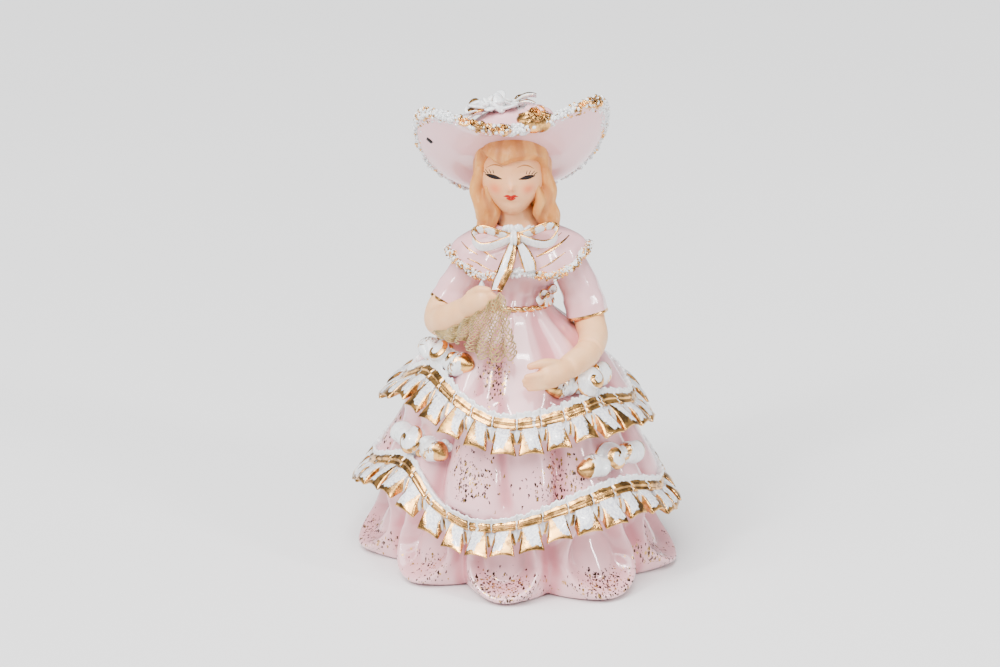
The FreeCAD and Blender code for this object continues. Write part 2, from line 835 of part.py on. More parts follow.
# ---------------------------------------------------------------- hanger and clapper
def make_hanger_bar():
    """Porcelain rod across the inside of the bell, its ends let into the wall."""
    body, sketch = new_body("hanger_bar", "YZ_Plane")
    sketch.addGeometry(Part.Circle(Vector(0, 0, 0), Vector(0, 0, 1), 1.0), False)
    sketch.addConstraint(Sketcher.Constraint("Coincident", 0, 3, -1, 1))
    sketch_radius(sketch, 0, "bar_radius", "Sizes.bar_radius")
    padded(body, sketch, "hanger_bar", "Sizes.bar_length")
    bind(body, Placement__Base__z="Sizes.bar_height")
    node(body, "hanger_bar")


def wire_torus(label, radius, centre_height, rotation):
    """A round of wire whose centre height is an expression."""
    ring = doc.addObject("Part::Torus", label)
    bind(ring, Radius1=radius, Radius2="Sizes.wire_radius")
    ring.Placement = Placement(Vector(0, 0, 0), rotation)
    bind(ring, Placement__Base__z=centre_height)
    return ring


RING_CENTRE = (
    "(Sizes.bar_height + Sizes.bar_radius + Sizes.running_gap + Sizes.wire_radius - Sizes.ring_radius)"
)
EYE_CENTRE = f"({RING_CENTRE} - Sizes.ring_radius + 2 * Sizes.wire_radius + Sizes.running_gap - Sizes.eye_radius)"
CURL_CENTRE = "(Sizes.bead_height - Sizes.bead_radius - Sizes.wire_radius - Sizes.curl_radius)"


def make_hanger_ring():
    """Wire ring that hangs on the bar and swings fore and aft about it."""
    node(wire_torus("hanger_ring", "Sizes.ring_radius", RING_CENTRE, Rotation(Vector(0, 1, 0), 90)), "hanger_ring")


def make_clapper_wire():
    """Wire with an eye at the top, a straight shank and a curled end under the bead."""
    upright = Rotation(Vector(1, 0, 0), 90)
    eye = wire_torus("wire_eye", "Sizes.eye_radius", EYE_CENTRE, upright)
    curl = wire_torus("wire_curl", "Sizes.curl_radius", CURL_CENTRE, upright)
    shank = doc.addObject("Part::Cylinder", "wire_shank")
    bottom = f"({CURL_CENTRE} + Sizes.curl_radius)"
    bind(
        shank,
        Radius="Sizes.wire_radius",
        Height=f"{EYE_CENTRE} - Sizes.eye_radius - {bottom}",
        Placement__Base__z=bottom,
    )
    node(fuse("clapper_wire", [eye, shank, curl]), "clapper_wire")


def make_clapper_bead():
    """Glazed bead with a bore, turned about the wire."""
    body, sketch = new_body("clapper_bead", "XZ_Plane")
    bore = size("bead_bore")
    reach = size("bead_radius")
    half = math.sqrt(reach * reach - bore * bore)
    start = -math.asin(half / reach)
    arc = Part.ArcOfCircle(Part.Circle(Vector(0, 0, 0), Vector(0, 0, 1), reach), start, -start)
    sketch.addGeometry(arc, False)
    sketch.addGeometry(Part.LineSegment(Vector(bore, half, 0), Vector(bore, -half, 0)), False)
    revolution = body.newObject("PartDesign::Revolution", "bead_turning")
    revolution.Profile = sketch
    revolution.ReferenceAxis = (sketch, ["V_Axis"])
    revolution.Angle = 360
    bind(body, Placement__Base__z="Sizes.bead_height")
    node(body, "clapper_bead")


def build():
    """Make every sub-part, check it and write its file."""
    make_skirt_bell()
    make_bodice()
    make_waist_band()
    make_waist_bow()
    head = make_head()
    hair = make_hair(head)
    make_hat(head, hair)
    make_hat_trim()
    make_hat_flowers()
    make_capelet()
    make_capelet_trim()
    make_neck_bow()
    make_arms()
    make_lace_kerchief()
    make_ruffle("upper", UPPER_SWAG, int(size("upper_tab_count")))
    make_ruffle("lower", LOWER_SWAG, int(size("lower_tab_count")))
    for name, (angle, height) in SPRAYS.items():
        make_spray(name, angle, height)
    make_hanger_bar()
    make_hanger_ring()
    make_clapper_wire()
    make_clapper_bead()
    doc.recompute()


def check():
    """Stop if any object failed or any sub-part is null or invalid."""
    for item in doc.Objects:
        if "Invalid" in item.State or "Error" in item.State:
            raise RuntimeError(f"{item.Name} failed: {item.State}")
    for piece in NODES:
        if piece.Shape.isNull() or not piece.Shape.isValid():
            raise RuntimeError(f"{piece.Label} has no valid shape")
        if not piece.Shape.Solids:
            raise RuntimeError(f"{piece.Label} has no solid")


def write():
    """Write one STEP file for each sub-part."""
    os.makedirs("parts", exist_ok=True)
    for piece in NODES:
        piece.Shape.exportStep(f"parts/{piece.Label}.step")
        print(f"{piece.Label:24s} {len(piece.Shape.Solids):3d} solids {piece.Shape.Volume:9.1f} mm3")


build()
check()
write()
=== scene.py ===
"""Looks of the porcelain figurine bell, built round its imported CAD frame.

Lengths below are in millimetres until a mesh is made, and MM turns them into metres.
The figure faces -Y; angles round the bell run from the front towards +X.
"""

import math
import random

import bmesh
import bpy
import numpy as np
from mathutils import Matrix, Vector
from mathutils.bvhtree import BVHTree


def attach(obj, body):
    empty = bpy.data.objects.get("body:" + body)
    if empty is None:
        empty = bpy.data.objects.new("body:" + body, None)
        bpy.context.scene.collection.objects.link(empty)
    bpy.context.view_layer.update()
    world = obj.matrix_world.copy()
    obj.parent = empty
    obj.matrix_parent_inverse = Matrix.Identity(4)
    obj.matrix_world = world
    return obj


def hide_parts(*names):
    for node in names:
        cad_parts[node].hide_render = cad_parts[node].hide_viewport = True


MM = 0.001
FIGURE = "figure"

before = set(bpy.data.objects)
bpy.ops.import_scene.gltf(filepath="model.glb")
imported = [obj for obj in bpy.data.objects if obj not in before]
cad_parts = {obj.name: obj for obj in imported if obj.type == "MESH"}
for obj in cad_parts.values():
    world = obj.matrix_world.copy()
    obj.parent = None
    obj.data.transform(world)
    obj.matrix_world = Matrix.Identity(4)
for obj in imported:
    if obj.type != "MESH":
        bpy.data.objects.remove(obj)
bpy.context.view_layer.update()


# ---------------------------------------------------------------- small maths
def smooth(low, high, value):
    """0 below low, 1 above high, eased between them."""
    share = np.clip((np.asarray(value, float) - low) / (high - low), 0, 1)
    return share * share * (3 - 2 * share)


def bump(value, centre, width):
    """A soft bump of height 1."""
    return np.exp(-(((np.asarray(value, float) - centre) / width) ** 2))


def spline_through(points, count):
    """Points evenly placed in parameter on a Catmull-Rom curve through the given ones."""
    known = np.array(points, float)
    ends = np.vstack([2 * known[0] - known[1], known, 2 * known[-1] - known[-2]])
    result = []
    for step in np.linspace(0, len(known) - 1, count):
        index = min(int(step), len(known) - 2)
        share = step - index
        a, b, c, d = ends[index:index + 4]
        result.append(
            0.5 * (2 * b + (c - a) * share + (2 * a - 5 * b + 4 * c - d) * share ** 2
                   + (3 * b - a - 3 * c + d) * share ** 3)
        )
    return np.array(result)


def unit(vectors):
    """Rows scaled to length 1."""
    vectors = np.atleast_2d(vectors)
    return vectors / np.maximum(np.linalg.norm(vectors, axis=1, keepdims=True), 1e-9)


def full_turn(count):
    """Angles evenly placed round a circle, in radians."""
    return np.linspace(0, 2 * np.pi, count, endpoint=False)


def round_degrees(count):
    """Angles evenly placed round a circle from the back, in degrees."""
    return np.linspace(-180, 180, count, endpoint=False)


def facing_sphere(rows, columns):
    """Directions all round, as a grid from the top down, whose middle column faces the front."""
    lat = np.linspace(0, np.pi, rows)[:, None]
    lon = np.radians(round_degrees(columns))[None]
    return np.stack([np.sin(lat) * np.sin(lon), -np.sin(lat) * np.cos(lon), np.cos(lat) + 0 * lon], -1)


# ---------------------------------------------------------------- meshes
def grid_faces(rows, columns, wrap=True, start=0):
    """Quads of a grid of points, closed round its columns or open."""
    faces = []
    for row in range(rows - 1):
        for column in range(columns if wrap else columns - 1):
            right = (column + 1) % columns
            first = start + row * columns
            below = first + columns
            faces.append((first + column, first + right, below + right, below + column))
    return faces


def ring_faces(rows, columns):
    """Quads of a grid that is closed both ways."""
    last = (rows - 1) * columns
    joint = [(last + k, last + (k + 1) % columns, (k + 1) % columns, k) for k in range(columns)]
    return grid_faces(rows, columns) + joint


def capped_faces(rows, columns):
    """Quads of a grid closed round its columns, with one face over each end."""
    last = (rows - 1) * columns
    return grid_faces(rows, columns) + [tuple(range(columns)), tuple(range(last, last + columns))]


def new_piece(name, points, faces, material, attributes=None):
    """A mesh object from points in millimetres, with float attributes on its points."""
    mesh = bpy.data.meshes.new(name)
    mesh.from_pydata([tuple(p) for p in np.asarray(points, float) * MM], [], [tuple(f) for f in faces])
    for key, values in (attributes or {}).items():
        mesh.attributes.new(key, "FLOAT", "POINT").data.foreach_set("value", np.asarray(values, np.float32))
    mesh.update()
    piece = bpy.data.objects.new(name, mesh)
    bpy.context.scene.collection.objects.link(piece)
    mesh.materials.append(material)
    tidy_normals(piece)
    mesh.polygons.foreach_set("use_smooth", [True] * len(mesh.polygons))
    return piece


def tidy_normals(piece):
    """Weld doubled points and turn every face outward."""
    work = bmesh.new()
    work.from_mesh(piece.data)
    bmesh.ops.remove_doubles(work, verts=work.verts, dist=1e-7)
    bmesh.ops.recalc_face_normals(work, faces=work.faces)
    work.to_mesh(piece.data)
    work.free()


def settle(piece):
    """Apply every modifier of a piece."""
    graph = bpy.context.evaluated_depsgraph_get()
    mesh = bpy.data.meshes.new_from_object(piece.evaluated_get(graph))
    piece.modifiers.clear()
    piece.data = mesh
    mesh.polygons.foreach_set("use_smooth", [True] * len(mesh.polygons))


def modify(piece, kind, **values):
    """Add one modifier."""
    modifier = piece.modifiers.new(kind.lower(), kind)
    for key, value in values.items():
        setattr(modifier, key, value)
    return modifier


def finish_piece(piece, nodes=(), body=FIGURE):
    """Place a piece on its body and hide the CAD parts that it replaces."""
    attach(piece, body)
    if nodes:
        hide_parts(*nodes)
    return piece


def shell(outer, inner, wrap=True):
    """Points and faces of a closed shell between two grids of rows by columns."""
    rows, columns = outer.shape[:2]
    points = np.concatenate([outer.reshape(-1, 3), inner.reshape(-1, 3)])
    faces = grid_faces(rows, columns, wrap) + grid_faces(rows, columns, wrap, rows * columns)
    offset = rows * columns
    for row in (0, rows - 1):
        for column in range(columns if wrap else columns - 1):
            right = (column + 1) % columns
            a, b = row * columns + column, row * columns + right
            faces.append((a, b, b + offset, a + offset))
    if not wrap:
        for column in (0, columns - 1):
            for row in range(rows - 1):
                a, b = row * columns + column, (row + 1) * columns + column
                faces.append((a, b, b + offset, a + offset))
    return points, faces


ODD_WAY = (0.31, 0.93, 0.2)  # along no tube of the figure, so it gives each a sideways direction
END_ROWS = 5


def tube_frame(path):
    """Directions along, beside and above each point of a path."""
    along = unit(np.gradient(path, axis=0))
    side = unit(np.cross(along, ODD_WAY))
    return along, side, np.cross(side, along)


def tube_parts(path, radii, sides=16):
    """Points and faces of a tube with rounded ends along a path."""
    path = np.asarray(path, float)
    radii = np.asarray(radii, float)
    along, side, up = tube_frame(path)
    turn = full_turn(sides)[:, None]
    rows = []
    for index in range(-END_ROWS, len(path) + END_ROWS):
        inner = min(max(index, 0), len(path) - 1)
        extra = index - inner
        lift = math.sin(abs(extra) / END_ROWS * math.pi / 2) * math.copysign(1, extra)
        pull = math.cos(abs(extra) / END_ROWS * math.pi / 2)
        centre = path[inner] + along[inner] * (lift * radii[inner])
        radius = radii[inner] * max(pull, 0.02)
        rows.append(centre + radius * (np.cos(turn) * side[inner] + np.sin(turn) * up[inner]))
    return np.array(rows).reshape(-1, 3), capped_faces(len(rows), sides)


class Parts:
    """Many small meshes gathered into one list of points and faces."""

    def __init__(self):
        self.points, self.faces, self.values = [], [], {}
        self.count = 0

    def add(self, points, faces, **values):
        """Add one mesh; each value is one number or one for each point."""
        points = np.asarray(points, float)
        self.points.append(points)
        self.faces += [tuple(i + self.count for i in face) for face in faces]
        for key, value in values.items():
            self.values.setdefault(key, []).append(np.broadcast_to(np.asarray(value, float), (len(points),)))
        self.count += len(points)

    def piece(self, name, material):
        """The gathered parts as one object."""
        values = {key: np.concatenate(value) for key, value in self.values.items()}
        return new_piece(name, np.concatenate(self.points), self.faces, material, values)

    def finish(self, name, look, slot, *nodes, body=FIGURE):
        """The gathered parts as one object, placed on its body."""
        return finish_piece(self.piece(name, LOOK[look]), nodes, body)


def grow_together(piece, voxel, smoothing=6):
    """Fuse overlapping volumes into one skin and soften it."""
    modify(piece, "REMESH", mode="VOXEL", voxel_size=voxel * MM, adaptivity=0.0)
    modify(piece, "SMOOTH", factor=0.6, iterations=smoothing)
    settle(piece)
    return piece


def points_of(piece):
    """A piece's points in millimetres."""
    flat = np.zeros(len(piece.data.vertices) * 3)
    piece.data.vertices.foreach_get("co", flat)
    return flat.reshape(-1, 3) / MM


def set_points(piece, points):
    """Write a piece's points back."""
    piece.data.vertices.foreach_set("co", (np.asarray(points) * MM).ravel())
    piece.data.update()


def set_values(piece, key, values):
    """Write one float attribute of a piece."""
    layer = piece.data.attributes.get(key) or piece.data.attributes.new(key, "FLOAT", "POINT")
    layer.data.foreach_set("value", np.asarray(values, np.float32))


# ---------------------------------------------------------------- materials
class Shader:
    """A short way to write a node material."""

    def __init__(self, name):
        self.material = bpy.data.materials.new(name)
        self.material.use_nodes = True
        self.tree = self.material.node_tree
        self.tree.nodes.clear()
        self.out = self.tree.nodes.new("ShaderNodeOutputMaterial")
        self.place = self.node("ShaderNodeTexCoord").outputs["Object"]

    def node(self, kind, values=None, **settings):
        """A node with its settings and inputs; an input is a value or another output."""
        node = self.tree.nodes.new(kind)
        for key, value in settings.items():
            setattr(node, key, value)
        for key, value in (values or {}).items():
            if isinstance(value, bpy.types.NodeSocket):
                self.tree.links.new(value, node.inputs[key])
            else:
                node.inputs[key].default_value = value
        return node

    def math(self, operation, first, second=0.0, third=0.0):
        """One sum."""
        return self.node("ShaderNodeMath", {0: first, 1: second, 2: third}, operation=operation).outputs[0]

    def noise(self, scale, detail, place=None, roughness=0.5):
        """Noise whose cells are so many to the metre."""
        values = {"Vector": place or self.place, "Scale": scale, "Detail": detail, "Roughness": roughness}
        return self.node("ShaderNodeTexNoise", values).outputs["Fac"]

    def stretched(self, scale):
        """The object's place with its three axes scaled."""
        return self.node("ShaderNodeMapping", {"Vector": self.place, "Scale": scale}).outputs[0]

    def attribute(self, name):
        """A float attribute of the mesh."""
        return self.node("ShaderNodeAttribute", attribute_name=name).outputs["Fac"]

    def ramp(self, value, low, high):
        """Eased 0 to 1 between two limits."""
        node = self.node("ShaderNodeMapRange", {"Value": value, "From Min": low, "From Max": high})
        node.interpolation_type = "SMOOTHSTEP"
        return node.outputs[0]

    def mix(self, share, first, second):
        """A mix of two colours."""
        node = self.node("ShaderNodeMix", data_type="RGBA")
        for socket, value in ((node.inputs[0], share), (node.inputs[6], first), (node.inputs[7], second)):
            if isinstance(value, bpy.types.NodeSocket):
                self.tree.links.new(value, socket)
            else:
                socket.default_value = value if isinstance(value, float) else (*value, 1)
        return node.outputs[2]

    def cloud(self, scale, detail, low, high, first, second):
        """Two colours mixed in soft clouds."""
        return self.mix(self.ramp(self.noise(scale, detail), low, high), first, second)

    def tint(self, tone, share, strength, colour):
        """A tone with another colour laid over a share of it."""
        return self.mix(self.math("MULTIPLY", share, strength), tone, colour)

    def grain(self, scale, detail, strength, distance):
        """The bump of a fine noise."""
        return self.relief(self.noise(scale, detail), strength, distance)

    def relief(self, height, strength, distance):
        """A bump from a height."""
        sizes = {"Height": height, "Strength": strength, "Distance": distance}
        return self.node("ShaderNodeBump", sizes).outputs[0]

    def surface(self, **values):
        """A principled surface."""
        named = {key.replace("_", " "): value for key, value in values.items()}
        if isinstance(named.get("Base Color"), tuple):
            named["Base Color"] = (*named["Base Color"], 1)
        return self.node("ShaderNodeBsdfPrincipled", named).outputs[0]

    def blend(self, share, first, second):
        """A mix of two surfaces."""
        return self.node("ShaderNodeMixShader", {0: share, 1: first, 2: second}).outputs[0]

    def done(self, surface):
        """Send a surface out and give the material."""
        self.tree.links.new(surface, self.out.inputs["Surface"])
        return self.material


PINK = (0.84, 0.485, 0.51)
# deeper pink laid into creases and hollows as painted shade
PINK_PAINTED_SHADE = (0.66, 0.25, 0.28)
WHITE = (0.88, 0.885, 0.88)
GOLD = (0.93, 0.50, 0.16)
# dark gold: partly thin, worn gilding and partly painted dark reflection
GOLD_WEAR_AND_REFLECTION = (0.30, 0.16, 0.055)


def gold_surface(shader):
    """Bright liquid gold with brush marks, darker in clouds that are partly thin, worn gilding and partly painted
    dark reflection.
    """
    marks = shader.noise(2600, 4, roughness=0.7)
    return shader.surface(
        # clouds of darker gold stand in for worn gilding and for painted dark reflection
        Base_Color=shader.cloud(420, 3, 0.42, 0.62, GOLD, GOLD_WEAR_AND_REFLECTION),
        Metallic=1.0,
        Roughness=shader.math("MULTIPLY_ADD", marks, 0.25, 0.10),
        Normal=shader.relief(marks, 0.35, 0.00012),
    )


def glaze_surface(shader, colour, waves=0.12):
    """Thick clear glaze over a body colour, not quite even."""
    return shader.surface(
        Base_Color=colour,
        Roughness=shader.math("MULTIPLY_ADD", shader.noise(700, 3), 0.10, 0.09),
        Normal=shader.grain(150, 2, waves, 0.0006),
        Coat_Weight=0.7,
        Coat_Roughness=0.03,
        Subsurface_Weight=0.12,
        Subsurface_Scale=0.0012,
        Subsurface_Radius=(1.0, 0.6, 0.55),
    )


FLECK_CELLS = 1750.0  # to the metre


def pink_glaze():
    """Pale pink glaze with painted shade: deeper pink in creases and hollows where the deep attribute says, and
    flecks of gold where they were dabbed.
    """
    shader = Shader("pink_glaze")
    # the deep attribute, with a little noise, mixes in the deeper pink as painted shade
    deep = shader.math("MULTIPLY_ADD", shader.noise(90, 2), 0.3, shader.attribute("deep"))
    body = glaze_surface(shader, shader.mix(shader.ramp(deep, 0.1, 1.1), PINK, PINK_PAINTED_SHADE))
    # a little wander in the cells' places gives each fleck a ragged outline
    wander = shader.node("ShaderNodeTexNoise", {"Vector": shader.place, "Scale": 1900.0, "Detail": 2.0})
    shifted = shader.node("ShaderNodeMix", data_type="VECTOR")
    shifted.inputs["Factor"].default_value = 0.0007
    shader.tree.links.new(shader.stretched((1, 1, 0.42)), shifted.inputs["A"])
    shader.tree.links.new(wander.outputs["Color"], shifted.inputs["B"])
    cells = shader.node("ShaderNodeTexVoronoi", {"Vector": shifted.outputs["Result"], "Scale": FLECK_CELLS})
    chance = shader.node("ShaderNodeSeparateColor", {"Color": cells.outputs["Color"]})
    share = shader.math("MULTIPLY", shader.attribute("fleck"), 1.3)
    chosen = shader.math("LESS_THAN", chance.outputs[0], share)
    reach = shader.math("MULTIPLY_ADD", chance.outputs[1], 0.42, 0.22)
    near = shader.math("LESS_THAN", cells.outputs["Distance"], reach)
    bright = shader.math("GREATER_THAN", chance.outputs[2], 0.6)
    fleck = shader.surface(
        Base_Color=shader.mix(bright, (0.07, 0.045, 0.03), (0.52, 0.31, 0.10)), Metallic=0.85, Roughness=0.25
    )
    return shader.done(shader.blend(shader.math("MULTIPLY", chosen, near), body, fleck))


def gilt_glaze(name, streak, colour=WHITE, shade=0.0):
    """Glaze with gold brushed on where the gold attribute says, with streaky edges and grey shade."""
    shader = Shader(name)
    brush = shader.noise(1500, 4, shader.stretched(streak), 0.65)
    grey = tuple(0.62 * c for c in colour[:2]) + (0.72 * colour[2],)
    body = glaze_surface(shader, shader.tint(colour, shader.ramp(brush, 0.42, 0.60), shade, grey), 0.2)
    level = shader.math("MULTIPLY_ADD", brush, 0.9, shader.math("SUBTRACT", shader.attribute("gold"), 0.45))
    return shader.done(shader.blend(shader.ramp(level, 0.44, 0.56), body, gold_surface(shader)))


def flesh_bisque():
    """Satin flesh colour with an orange blush and faint specks."""
    shader = Shader("flesh_bisque")
    tone = shader.cloud(120, 3, 0.35, 0.7, (0.84, 0.44, 0.20), (0.88, 0.51, 0.26))
    tone = shader.tint(tone, shader.attribute("blush"), 0.8, (0.80, 0.20, 0.065))
    tone = shader.tint(tone, shader.ramp(shader.noise(2300, 1), 0.735, 0.76), 0.5, (0.45, 0.27, 0.16))
    return shader.done(shader.surface(
        Base_Color=tone,
        Roughness=0.42,
        Normal=shader.grain(3500, 2, 0.05, 0.00005),
        Subsurface_Weight=0.18,
        Subsurface_Scale=0.001,
        Subsurface_Radius=(1.0, 0.5, 0.3),
    ))


def hair_bisque():
    """Strawberry-blond paint, thinner in brush streaks and darker in the grooves of the combed waves."""
    shader = Shader("hair_bisque")
    strokes = shader.noise(700, 4, shader.stretched((1.0, 1.0, 0.25)), 0.6)
    tone = shader.cloud(170, 3, 0.35, 0.7, (0.74, 0.33, 0.075), (0.60, 0.22, 0.04))
    tone = shader.tint(tone, shader.ramp(strokes, 0.45, 0.75), 0.45, (0.86, 0.50, 0.20))
    tone = shader.tint(tone, shader.attribute("groove"), 0.6, (0.42, 0.12, 0.025))
    combed = shader.relief(strokes, 0.25, 0.0002)
    return shader.done(shader.surface(Base_Color=tone, Roughness=0.48, Normal=combed))


def paint(name, colour, rough=0.35):
    """A thin line of enamel paint, a little uneven."""
    shader = Shader(name)
    tone = shader.cloud(2500, 3, 0.4, 0.75, colour, tuple(min(1.0, c * 1.4 + 0.008) for c in colour))
    return shader.done(shader.surface(Base_Color=tone, Roughness=rough, Specular_IOR_Level=0.12))


def net_cotton():
    """Old stiffened cotton, yellowed unevenly."""
    shader = Shader("net_cotton")
    fibre = shader.noise(6000, 4)
    tone = shader.cloud(260, 3, 0.3, 0.7, (0.38, 0.245, 0.07), (0.52, 0.36, 0.13))
    tone = shader.tint(tone, fibre, 0.35, (0.28, 0.17, 0.055))
    return shader.done(
        shader.surface(Base_Color=tone, Roughness=0.85, Sheen_Weight=0.4, Normal=shader.relief(fibre, 0.6, 0.0001))
    )


def raw_porcelain():
    """Unglazed inner body, chalky with faint specks."""
    shader = Shader("raw_porcelain")
    tone = shader.cloud(300, 4, 0.4, 0.7, (0.80, 0.77, 0.72), (0.72, 0.67, 0.61))
    return shader.done(shader.surface(Base_Color=tone, Roughness=0.7, Normal=shader.grain(2500, 3, 0.3, 0.0001)))


def drawn_wire():
    """Brass wire, dulled, with fine scratches."""
    shader = Shader("drawn_wire")
    tone = shader.cloud(900, 3, 0.4, 0.7, (0.62, 0.47, 0.22), (0.34, 0.25, 0.12))
    normal = shader.grain(5000, 2, 0.3, 0.00005)
    return shader.done(shader.surface(Base_Color=tone, Metallic=1.0, Roughness=0.34, Normal=normal))


def bead_glaze():
    """Pale glaze with brown specks on the clapper's bead."""
    shader = Shader("bead_glaze")
    tone = shader.cloud(500, 4, 0.4, 0.65, (0.62, 0.55, 0.48), (0.78, 0.74, 0.70))
    speck = shader.ramp(shader.noise(2600, 1), 0.66, 0.7)
    return shader.done(glaze_surface(shader, shader.mix(speck, tone, (0.20, 0.13, 0.09))))


def pale_floor():
    """Plain pale studio surface."""
    shader = Shader("pale_floor")
    tone = shader.cloud(3, 2, 0.3, 0.7, (0.79, 0.79, 0.79), (0.81, 0.81, 0.81))
    return shader.done(shader.surface(Base_Color=tone, Roughness=0.6, Specular_IOR_Level=0.25))


LOOK = {
    "pink": pink_glaze(),
    "gilt": gilt_glaze("gilt_glaze", (1.0, 1.0, 0.45), shade=0.3),
    "brushed": gilt_glaze("brushed_gilt", (1.3, 1.3, 0.16), shade=1.0),
    "gilt_pink": gilt_glaze("gilt_pink_glaze", (1.0, 1.0, 1.0), PINK),
    "flesh": flesh_bisque(),
    "hair": hair_bisque(),
    "eye": paint("eye_paint", (0.012, 0.008, 0.008), 0.6),
    "brow": paint("brow_paint", (0.42, 0.15, 0.04)),
    "lip": paint("lip_paint", (0.42, 0.008, 0.004)),
    "net": net_cotton(),
    "raw": raw_porcelain(),
    "wire": drawn_wire(),
    "bead": bead_glaze(),
}


# ---------------------------------------------------------------- the bell's own surface
# height, mean radius, depth of the flutes
BELL = np.array([
    (0, 40.2, 5.5), (1.2, 42.3, 5.5), (5, 43.6, 5.5), (10, 41.5, 4.5), (15, 38.6, 3.5), (20, 38.2, 3.0),
    (25, 38.4, 2.6), (30, 36.5, 2.3), (36, 33.3, 2.0), (41, 31.2, 1.8), (46, 30.8, 1.6), (51, 28.2, 1.3),
    (57, 24.2, 1.1), (62, 19.6, 0.8), (66, 14.6, 0.6), (69, 11.0, 0.4), (71.5, 9.3, 0.2),
])
FINE_BELL = spline_through(BELL, 600)
BELL_WALL = 2.8
LOBE_PHASE = -6.0
LOBE_PITCH = 40.0


def around(angle, radius, height):
    """Points at an angle in degrees, a radius and a height round the bell's axis."""
    turn = np.radians(angle)
    return np.stack([radius * np.sin(turn), -radius * np.cos(turn), height + 0 * turn], -1)


def crest(angle, phase=LOBE_PHASE, soft=0.12):
    """1 on a lobe's crest and 0 in the crease beside it."""
    turn = np.radians(angle - phase) * 180 / LOBE_PITCH
    return np.hypot(np.cos(turn), soft) - soft


def across_lobe(angle, phase=LOBE_PHASE):
    """-1 to 1 across one lobe."""
    return ((angle - phase + LOBE_PITCH / 2) % LOBE_PITCH) / (LOBE_PITCH / 2) - 1


# angle of each crease in the skirt's middle tier, and its share of the full depth
FOLD_CREASES = [
    (-162, 0.9), (-136, 1.0), (-110, 0.8), (-88, 1.0), (-62, 0.8), (-36, 1.0), (-6, 0.9), (17, 1.0), (44, 0.7),
    (70, 1.0), (96, 0.8), (122, 1.0), (148, 0.8), (174, 1.0),
]


def nearest_turn(angle, place):
    """Degrees from a place, the short way round."""
    return (np.asarray(angle) - place + 180) % 360 - 180


def plain_bell(angle, height):
    """Radius of the bell without the modelling of its folds, as its CAD form has it."""
    radius = np.interp(height, FINE_BELL[:, 0], FINE_BELL[:, 1])
    flute = np.interp(height, FINE_BELL[:, 0], FINE_BELL[:, 2])
    oval = 0.085 * np.clip((70 - height) / 70, 0, 1) * np.cos(2 * np.radians(angle - 52))
    return radius * (1 + oval), flute


def off_petal_middle(angle, height):
    """0 in the middle of a foot petal's hollow and 1 at its U-shaped edge."""
    arch = 0.68 - 0.30 * smooth(9, 24, height)
    return np.hypot(across_lobe(angle) / arch, np.clip(11 - height, 0, None) / 8.2)


def skirt_radius(angle, height):
    """Radius of the modelled skirt: dished petals at the foot and offset folds above them."""
    radius, flute = plain_bell(angle, height)
    foot = smooth(27, 18, height)
    middle = smooth(19, 27, height) * smooth(54, 46, height)
    top = smooth(46, 53, height)
    petal = flute * 1.45 * (1 - crest(angle, soft=0.05)) ** 0.85
    off_middle = off_petal_middle(angle, height)
    dish = (5.4 * smooth(1.09, 0.66, off_middle) - 1.15 * bump(off_middle, 1.16, 0.14)) * smooth(26, 15, height)
    folds = -0.55 * flute
    for crease, depth in FOLD_CREASES:
        off = nearest_turn(angle, crease + 3.0 * np.sin(0.09 * height + crease))
        folds = folds + 2.3 * depth * flute * np.exp(-(np.hypot(off, 1.6) - 1.6) / 5.8)
    turn = np.radians(angle)
    gathers = flute * (1.1 - 0.75 * np.cos(9 * turn - 0.9) - 0.45 * np.cos(14 * turn + 2.0))
    return radius - foot * (petal + dish) - middle * folds - top * gathers


def on_skirt(angle, height, proud=0.0):
    """The point on the skirt's outside, or a little proud of it."""
    angle, height = np.broadcast_arrays(np.asarray(angle, float), np.asarray(height, float))
    return around(angle, skirt_radius(angle, height) + proud, height)


def skirt_frame(angle, height):
    """Level, upward and outward directions on the skirt, folds left out."""
    low, high = (around(angle, plain_bell(angle, level)[0], level) for level in (height - 1.5, height + 1.5))
    up = unit(high - low)[0]
    level = np.array([math.cos(math.radians(angle)), math.sin(math.radians(angle)), 0])
    return level, up, unit(np.cross(level, up))[0]


# centre angle, centre height, half width in degrees, half height, density
FLECK_PATCHES = [
    (-15, 57.5, 7.5, 5.2, 1.2), (-21, 32.5, 8, 5.2, 0.85), (19, 31, 10.5, 5.2, 0.85), (-6, 4.2, 13, 2.6, 1.0),
    (33, 4.6, 9, 2.6, 0.9), (62, 7.0, 9, 2.8, 0.8), (-43, 6.4, 8, 2.2, 0.55), (-71, 5.5, 6, 2.2, 0.5),
    (100, 33, 9, 5, 0.7), (140, 33, 9, 5, 0.7), (-178, 32, 9, 5, 0.7), (-138, 33, 9, 5, 0.7),
    (-98, 33, 9, 5, 0.7), (114, 5, 11, 2.6, 0.8), (154, 5, 11, 2.6, 0.8), (-166, 5, 11, 2.6, 0.8),
    (-126, 5, 11, 2.6, 0.8), (-90, 5, 8, 2.4, 0.6), (110, 59, 5, 4, 0.7), (-150, 59, 5, 4, 0.7),
]


